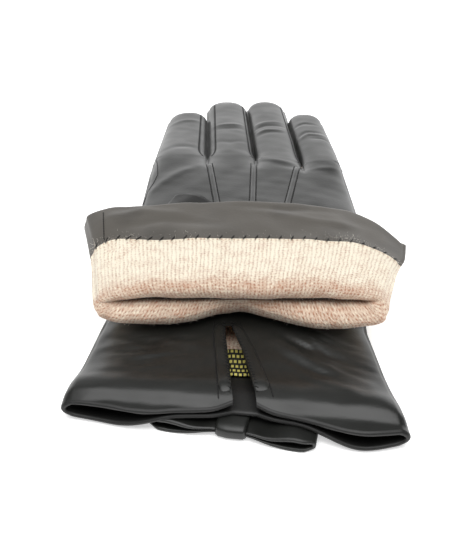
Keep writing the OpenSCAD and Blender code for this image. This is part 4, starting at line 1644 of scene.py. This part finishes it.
@dataclass
class TurnedCuff:
    """The upper glove's cuff: lining outside, facing at the hem, leather inside."""

    # The hoop at which each cloth starts, on the way from the wrist to the hem and back inside
    LINING_FROM, FACING_FROM, LEATHER_FROM = 2, 9, 13
    COLUMNS, SIDES = 61, 11

    dress: Dress
    body: str = "upper_glove"
    flap: str = "turned_cuff"

    def hoops(self) -> list[Hoop]:
        """Return the rings: (along, height) of the top and the underside, then middle and half width."""
        return [Hoop((-40, 20.6), (-40, 18.4), -0.5, 39.5), Hoop((-64, 20.8), (-64, 18.7), -1.5, 40.0),
                Hoop((-71.2, 20.1), (-71.2, 19.5), -1.6, 41.4),
                Hoop((-73.8, 21.5), (-74.4, 17.7), -1.6, 44.2),
                Hoop((-74.7, 23.9), (-76, 14.8), -1.7, 46.6), Hoop((-73.6, 26.2), (-74.8, 11.6), -1.7, 48.2),
                Hoop((-70.4, 27.5), (-70.5, 10.1), -1.7, 49.2), Hoop((-58.0, 28.6), (-58, 9.95), -0.7, 52.5),
                Hoop((-48.2, 29.2), (-47, 9.95), -0.3, 55.0), Hoop((-47.5, 29.75), (-46.4, 9.9), -0.3, 55.3),
                Hoop((-33, 30.5), (-34, 9.9), -0.7, 58.0), Hoop((-20.6, 31.0), (-22, 9.9), -1.1, 60.4),
                Hoop((-19.7, 30.6), (-21.2, 10.3), -1.1, 60.4), Hoop((-20, 29.9), (-21.6, 10.9), -1.1, 59.5),
                Hoop((-30, 29.0), (-30, 11.3), -0.4, 56.0), Hoop((-62, 26.0), (-62, 12.2), -1.8, 45.0)]

    def build(self) -> None:
        """Build and dress the cuff."""
        grid, stage = self.grid()
        rows, ring = grid.shape[:2]
        arc, path = (np.concatenate([[0], np.cumsum(np.linalg.norm(np.diff(line, axis=0), axis=1))])
                     for line in (grid[rows // 2], grid[:, self.COLUMNS // 2]))
        uv = np.stack(np.meshgrid(arc, path), -1).reshape(-1, 2)
        self.rumple(grid, stage)
        faces = quads(rows, ring, True)[:, ::-1]
        part = stage[np.arange(len(faces)) // ring]
        skin = Skin(grid.reshape(-1, 3), [tuple(int(v) for v in f) for f in faces], part,
                    np.ones(rows * ring, bool), np.repeat(self.seam(stage), ring), rows, ring,
                    np.repeat(self.painted_shade(stage), ring))
        dress, pieces = self.dress, {}
        spans = (("sleeve_lining", 0, self.LINING_FROM, dress.jersey, Slot.LINING, ("hand_lining",)),
                 ("cuff_lining_turned", self.LINING_FROM, self.FACING_FROM, dress.jersey, Slot.LINING,
                  ("cuff_roll", "lining_band")),
                 ("cuff_facing_turned", self.FACING_FROM, self.LEATHER_FROM, dress.facing, Slot.FACING,
                  ("facing_band", "facing_under")),
                 ("cuff_leather_inside", self.LEATHER_FROM, len(stage), dress.nappa, Slot.NAPPA,
                  ("cuff_back_leather", "cuff_under_leather")))
        for name, first, last, finish, slot, nodes in spans:
            piece = pieces[name] = skin.cut(name, (part >= first) & (part < last), finish, uv)
            settle(piece, slot, *[f"upper_{node}" for node in nodes])
        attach(pieces["sleeve_lining"], self.body)
        self.nap(pieces["cuff_lining_turned"], pieces["cuff_facing_turned"])
        self.stitches(grid, stage, pieces["cuff_facing_turned"])
        for name in ("cuff_lining_turned", "cuff_facing_turned", "cuff_leather_inside"):
            self.bend(pieces[name])
        self.slit_binding()

    def bend(self, piece: bpy.types.Object) -> None:
        """Bake a piece's transform into its mesh."""
        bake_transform(piece)

    def grid(self) -> tuple[np.ndarray, np.ndarray]:
        """Draw a smooth cloth through the hoops.

        Returns:
            The cuff's points, ring by ring, and the hoop that each ring follows.
        """
        keys = np.array([self.ring(hoop, i) for i, hoop in enumerate(self.hoops())])
        rows, stage = [], []
        for i in range(len(keys) - 1):
            a, b = keys[max(i - 1, 0)], keys[min(i + 2, len(keys) - 1)]
            p, q = keys[i], keys[i + 1]
            sharp = 0 < i < len(keys) - 2 and np.linalg.norm(q - p, axis=1).max() < 1.5
            before, step, after = (np.linalg.norm(d, axis=1).mean() + 1e-6 for d in (p - a, q - p, b - q))
            leave = (p - a) / before * min(before, step) * 0.5 + (q - p) * 0.5
            arrive = (b - q) / after * min(after, step) * 0.5 + (q - p) * 0.5
            for s in np.linspace(0, 1, 9 if np.abs(q - p).max() > 6 else 4, endpoint=False):
                if sharp:
                    row = p + (q - p) * s
                else:
                    row = ((2 * s ** 3 - 3 * s ** 2 + 1) * p + (s ** 3 - 2 * s ** 2 + s) * leave
                           + (3 * s ** 2 - 2 * s ** 3) * q + (s ** 3 - s ** 2) * arrive)
                rows.append(row)
                stage.append(i)
        return np.array([*rows, keys[-1]]), np.array([*stage, len(keys) - 2])

    def ring(self, hoop: Hoop, i: int) -> np.ndarray:
        """Shape one ring of the cuff.

        Args:
            hoop: The ring's place and size.
            i: Its number.

        Returns:
            The ring's points: top from left to right, right side, underside, left side.
        """
        t = np.linspace(-1, 1, self.COLUMNS)
        c = 0.2 * t + 0.8 * np.sin(t * math.pi / 2)
        v = np.linspace(1, -1, self.SIDES + 2)[1:-1]
        outside = float(ease((i - 2.5) / 3.5)) * (1.0 if i < self.LEATHER_FROM else 0.9)
        flare = float(ease((hoop.top[0] + 60) / 38)) * outside
        middle, half = (hoop.top[1] + hoop.under[1]) / 2, (hoop.top[1] - hoop.under[1]) / 2
        wall = np.where(c < 0, 0.25 + 0.25 * flare * outside, 0.25 - 0.18 * flare)
        thin = flare * (c > 0)
        rise = wall + (1 - wall) * superellipse(c, 3.0 - 0.9 * thin, 1.75 - 0.5 * thin)
        x = hoop.middle + hoop.half * c
        # The right corner hangs towards the mouth, the left one turns up a little
        hang = np.interp(i, [7, 8, 13, 14, 15], [0, 1, 1, 0.8, 0])
        droop = flare * np.clip((c - 0.66) / 0.34, 0, 1) ** 1.7 * hang
        top_y = hoop.top[0] - 17.0 * droop - 3.0 * flare * ease((-c - 0.8) / 0.2) * (i > 10)
        top_y += 4.4 * np.exp(-((c + 0.86) / 0.17) ** 2) * (7 < i < 10)
        top_y -= 1.8 * np.exp(-((c + 0.62) / 0.22) ** 2) * (i > 9)
        # The lower lip of the mouth is drawn back in the middle
        lip = float(ease((i - 2) / 1.5) * ease((7.4 - i) / 2.5))
        notch = 6.8 * np.exp(-((c + 0.02) / 0.36) ** 2) - 3.0 * ease((c + 0.1) / 0.9) - 2.4
        under_y = hoop.under[0] + lip * notch - 14.0 * droop
        under_z = middle - half * (wall + (1 - wall) * superellipse(c, 3.4, 1.8))
        under_z += lip * 2.4 * np.exp(-((c + 0.02) / 0.3) ** 2) * (hoop.under[1] < 17)
        top = np.stack([x, top_y, middle + half * rise], -1)
        under = np.stack([x, under_y, under_z], -1)[::-1]
        share = ((1 - v) / 2)[:, None]
        swell = ((1 - v ** 2) ** 2)[:, None] * [1.2 * outside + 0.3, 0, 0]
        right = top[-1] + (under[0] - top[-1]) * share + swell
        left = under[-1] + (top[0] - under[-1]) * share - swell
        return np.concatenate([top, right, under, left])

    def rumple(self, grid: np.ndarray, stage: np.ndarray) -> None:
        """Press soft folds into the cuff, in place.

        Args:
            grid: Rows of points.
            stage: Each row's stage.
        """
        x, y, z = grid[..., 0], grid[..., 1], grid[..., 2]
        lift = 0.45 * waves(x, y + 0.7 * z, 31, 40, 9) * np.where(stage < 2, 0.2, 1.0)[:, None]
        top = z > 20
        z += np.where(top, lift, 0.25 * lift)
        lips = ((stage >= 3) & (stage < 7))[:, None]
        y += lips * 0.7 * waves(x, z, 17, 30, 8)
        for fold in (Crease(((-54, -30), (-40, -26), (-20, -31)), 0.5, 2.2),
                     Crease(((-50, -37), (-30, -34), (-8, -38)), -0.5, 2.0),
                     Crease(((6, -27), (25, -33), (45, -34)), 0.5, 2.2),
                     Crease(((-6, -24), (14, -26), (34, -24)), -0.45, 1.8)):
            z += np.where(top & (stage > 6)[:, None], fold.press(x, y)[0], 0)

    @staticmethod
    def place(stage: np.ndarray) -> np.ndarray:
        """Return how many hoops along the cuff each row lies."""
        return np.array([k + (i - np.argmax(stage == k)) / np.sum(stage == k) for i, k in enumerate(stage)])

    def seam(self, stage: np.ndarray) -> np.ndarray:
        """Return each row's painted shade: a dark line where the two lips of the mouth meet."""
        return 0.95 * np.exp(-((self.place(stage) - self.LINING_FROM) / 0.33) ** 2)

    def painted_shade(self, stage: np.ndarray) -> np.ndarray:
        """Return how much painted shade, pinker and darker, each row of the lining gets: most at the lips."""
        return 1 - ease((self.place(stage) - 5.2) / 1.5)

    def nap(self, lining: bpy.types.Object, facing: bpy.types.Object) -> None:
        """Raise the lining's fibres, thicker at the two sides and over the facing's edge.

        Args:
            lining: The knitted band.
            facing: The leather band at the hem.
        """
        tree = FibreTree()
        for surface, name, per_cm2, seed, length in ((lining, "cuff_lining_fibres", 150, 3, 1.9),
                                                     (facing, "cuff_facing_fibres", 380, 4, 3.4)):
            x, y, z = (np.array([v.co for v in surface.data.vertices]) / MM).T
            if surface is lining:
                share = np.where(z > 9.95, 0.7, 0.05) + 0.5 * (np.abs(x + 1.5) > 44) + 0.5 * (z < 16)
            else:
                edge = np.interp(x, [-56, -50, -36, 30, 44, 52, 57], [-46, -46, -47.5, -47.5, -49, -54, -59])
                tufts = (np.exp(-((x + 47) / 8) ** 2) + 0.9 * np.exp(-((x - 39) / 6) ** 2)
                         + 0.7 * np.exp(-((x - 53) / 4) ** 2))
                share = np.exp(-((y - edge - 1.5) / 3.0) ** 2) * (0.05 + tufts) * (z > 18)
            fibres = tree.raise_nap(name, surface, np.clip(share, 0, 1), per_cm2, length, 0.05, seed,
                                    self.dress.fibre)
            settle(fibres, Slot.LINING)
            self.bend(fibres)

    def stitches(self, grid: np.ndarray, stage: np.ndarray, facing: bpy.types.Object) -> None:
        """Sew the overcast stitches where the facing meets the lining, and the hem's side seam.

        Args:
            grid: Rows of points.
            stage: Each row's stage.
            facing: The leather band at the hem.
        """
        tree, thread = StitchTree(), self.dress.thread
        line = grid[int(np.argmax(stage >= self.FACING_FROM))][2:self.COLUMNS - 2] + [0, 0.5, 0.3]
        up = np.tile([0.0, 0.0, 1.0], (len(line), 1))
        sewn = tree.sew("cuff_overcast_stitches", [line], [up], 4.2, 3.4, 0.5, 68, thread)
        settle(sewn, Slot.THREAD, "upper_facing_stitches")
        self.bend(sewn)
        seam, up = Surface(facing).lay(straight((-54.4, -25.5), (-51.6, -44.5)), 0.1)
        close = tree.sew("cuff_side_seam_stitches", [seam], [up], 1.5, 1.3, 0.5, 0, thread)
        settle(close, Slot.THREAD)
        self.bend(close)

    def slit_binding(self) -> None:
        """Add the binding of the slit in the cuff's hidden underside."""
        low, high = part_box("upper_vent_binding")
        ys = np.linspace(low.y / MM + 0.5, high.y / MM - 0.5, 24)
        parts = []
        for side in (-1, 1):
            share = (ys - ys[0]) / (ys[-1] - ys[0])
            x = (low.x + high.x) / 2 / MM + side * (1.6 + 3.0 * share)
            line = np.stack([x, ys, np.full(len(ys), low.z / MM + 1.0)], -1)
            parts.append(sweep(line, np.tile([0, 0, 1.0], (len(ys), 1)), 2.0, 0.8))
        piece = make_piece("upper_slit_binding", *join(parts), self.dress.nappa)
        settle(piece, Slot.NAPPA, "upper_vent_binding", body=self.body)


# ---- table, light and camera --------------------------------------------------


@dataclass(frozen=True)
class Softbox:
    """A large soft light."""

    name: str
    place: Point
    aim: Point
    size: Plan
    radiance: float

    def build(self) -> None:
        """Hang the light."""
        data = bpy.data.lights.new(self.name, "AREA")
        data.shape = "RECTANGLE"
        data.size, data.size_y = self.size
        data.energy = self.radiance * math.pi * self.size[0] * self.size[1]
        obj = bpy.data.objects.new(self.name, data)
        obj.location = self.place
        obj.rotation_euler = (Vector(self.aim) - Vector(self.place)).to_track_quat("-Z", "Y").to_euler()
        obj.visible_camera = False
        bpy.context.scene.collection.objects.link(obj)


@dataclass(frozen=True)
class Studio:
    """A white table, soft lights and the camera."""

    table_half: float = 4000.0
    table_glow: float = 0.5
    room_light: float = 0.22
    lens: float = 51.25
    eye: Point = (-0.0038, -0.2975, 0.1683)
    pitch: float = 58.1
    boxes: tuple[Softbox, ...] = (
        Softbox("overhead", (0.0, -0.35, 1.5), (0, 0, 0), (1.7, 1.5), 3.4),
        Softbox("far_wall", (0.0, 1.25, 0.36), (0, 0, 0.2), (3.2, 0.72), 1.5))

    def build(self) -> None:
        """Lay the table, hang the lights and set up the camera."""
        a = self.table_half
        white = Plain("matt_white_table", "ffffff", 0.9, 0.1, self.table_glow).build()
        make_piece("table_top", np.array([(-a, -a, 0), (a, -a, 0), (a, a, 0), (-a, a, 0)]),
                            [(0, 1, 2, 3)], white)
        scene = bpy.context.scene
        scene.world = bpy.data.worlds.new("soft_room")
        scene.world.use_nodes = True
        room = scene.world.node_tree.nodes["Background"]
        room.inputs[0].default_value = (1, 1, 1, 1)
        room.inputs[1].default_value = self.room_light
        for box in self.boxes:
            box.build()
        scene.view_settings.view_transform = "Standard"
        scene.view_settings.look = "None"
        data = bpy.data.cameras.new("camera")
        data.sensor_width = 36.0
        data.lens = self.lens
        data.clip_start = 0.01
        camera = bpy.data.objects.new("camera", data)
        camera.location = self.eye
        camera.rotation_euler = (math.radians(self.pitch), 0, 0)
        scene.collection.objects.link(camera)
        scene.camera = camera


def main() -> None:
    """Build the pair."""
    logging.basicConfig(level=logging.INFO, format="%(name)s: %(message)s")
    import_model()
    dress = Dress()
    LowerGlove(dress).build()
    UpperGlove(dress).build()
    TurnedCuff(dress).build()
    for body in ("lower_thumb", "upper_thumb"):
        low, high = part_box(f"{body}_leather")
        Thumb(dress, body, ((low.x + high.x) / 2 / MM, low.y / MM + 13.0, low.z / MM)).build()
    Bow(dress.nappa, "lower_bow", "lower_glove", (-4.0, -113.4, 0.02), -12.5, width=52.0, depth=14.5,
        height=4.6).build()
    # The upper bow takes the shaded copy of the matt leather: painted shade under the turned cuff
    Bow(dress.shaded, "upper_bow", "turned_cuff", (-8.6, -26.0, 25.0), -26.0, tilt=7.0).build()
    Studio().build()


if __name__ == "__main__":
    main()
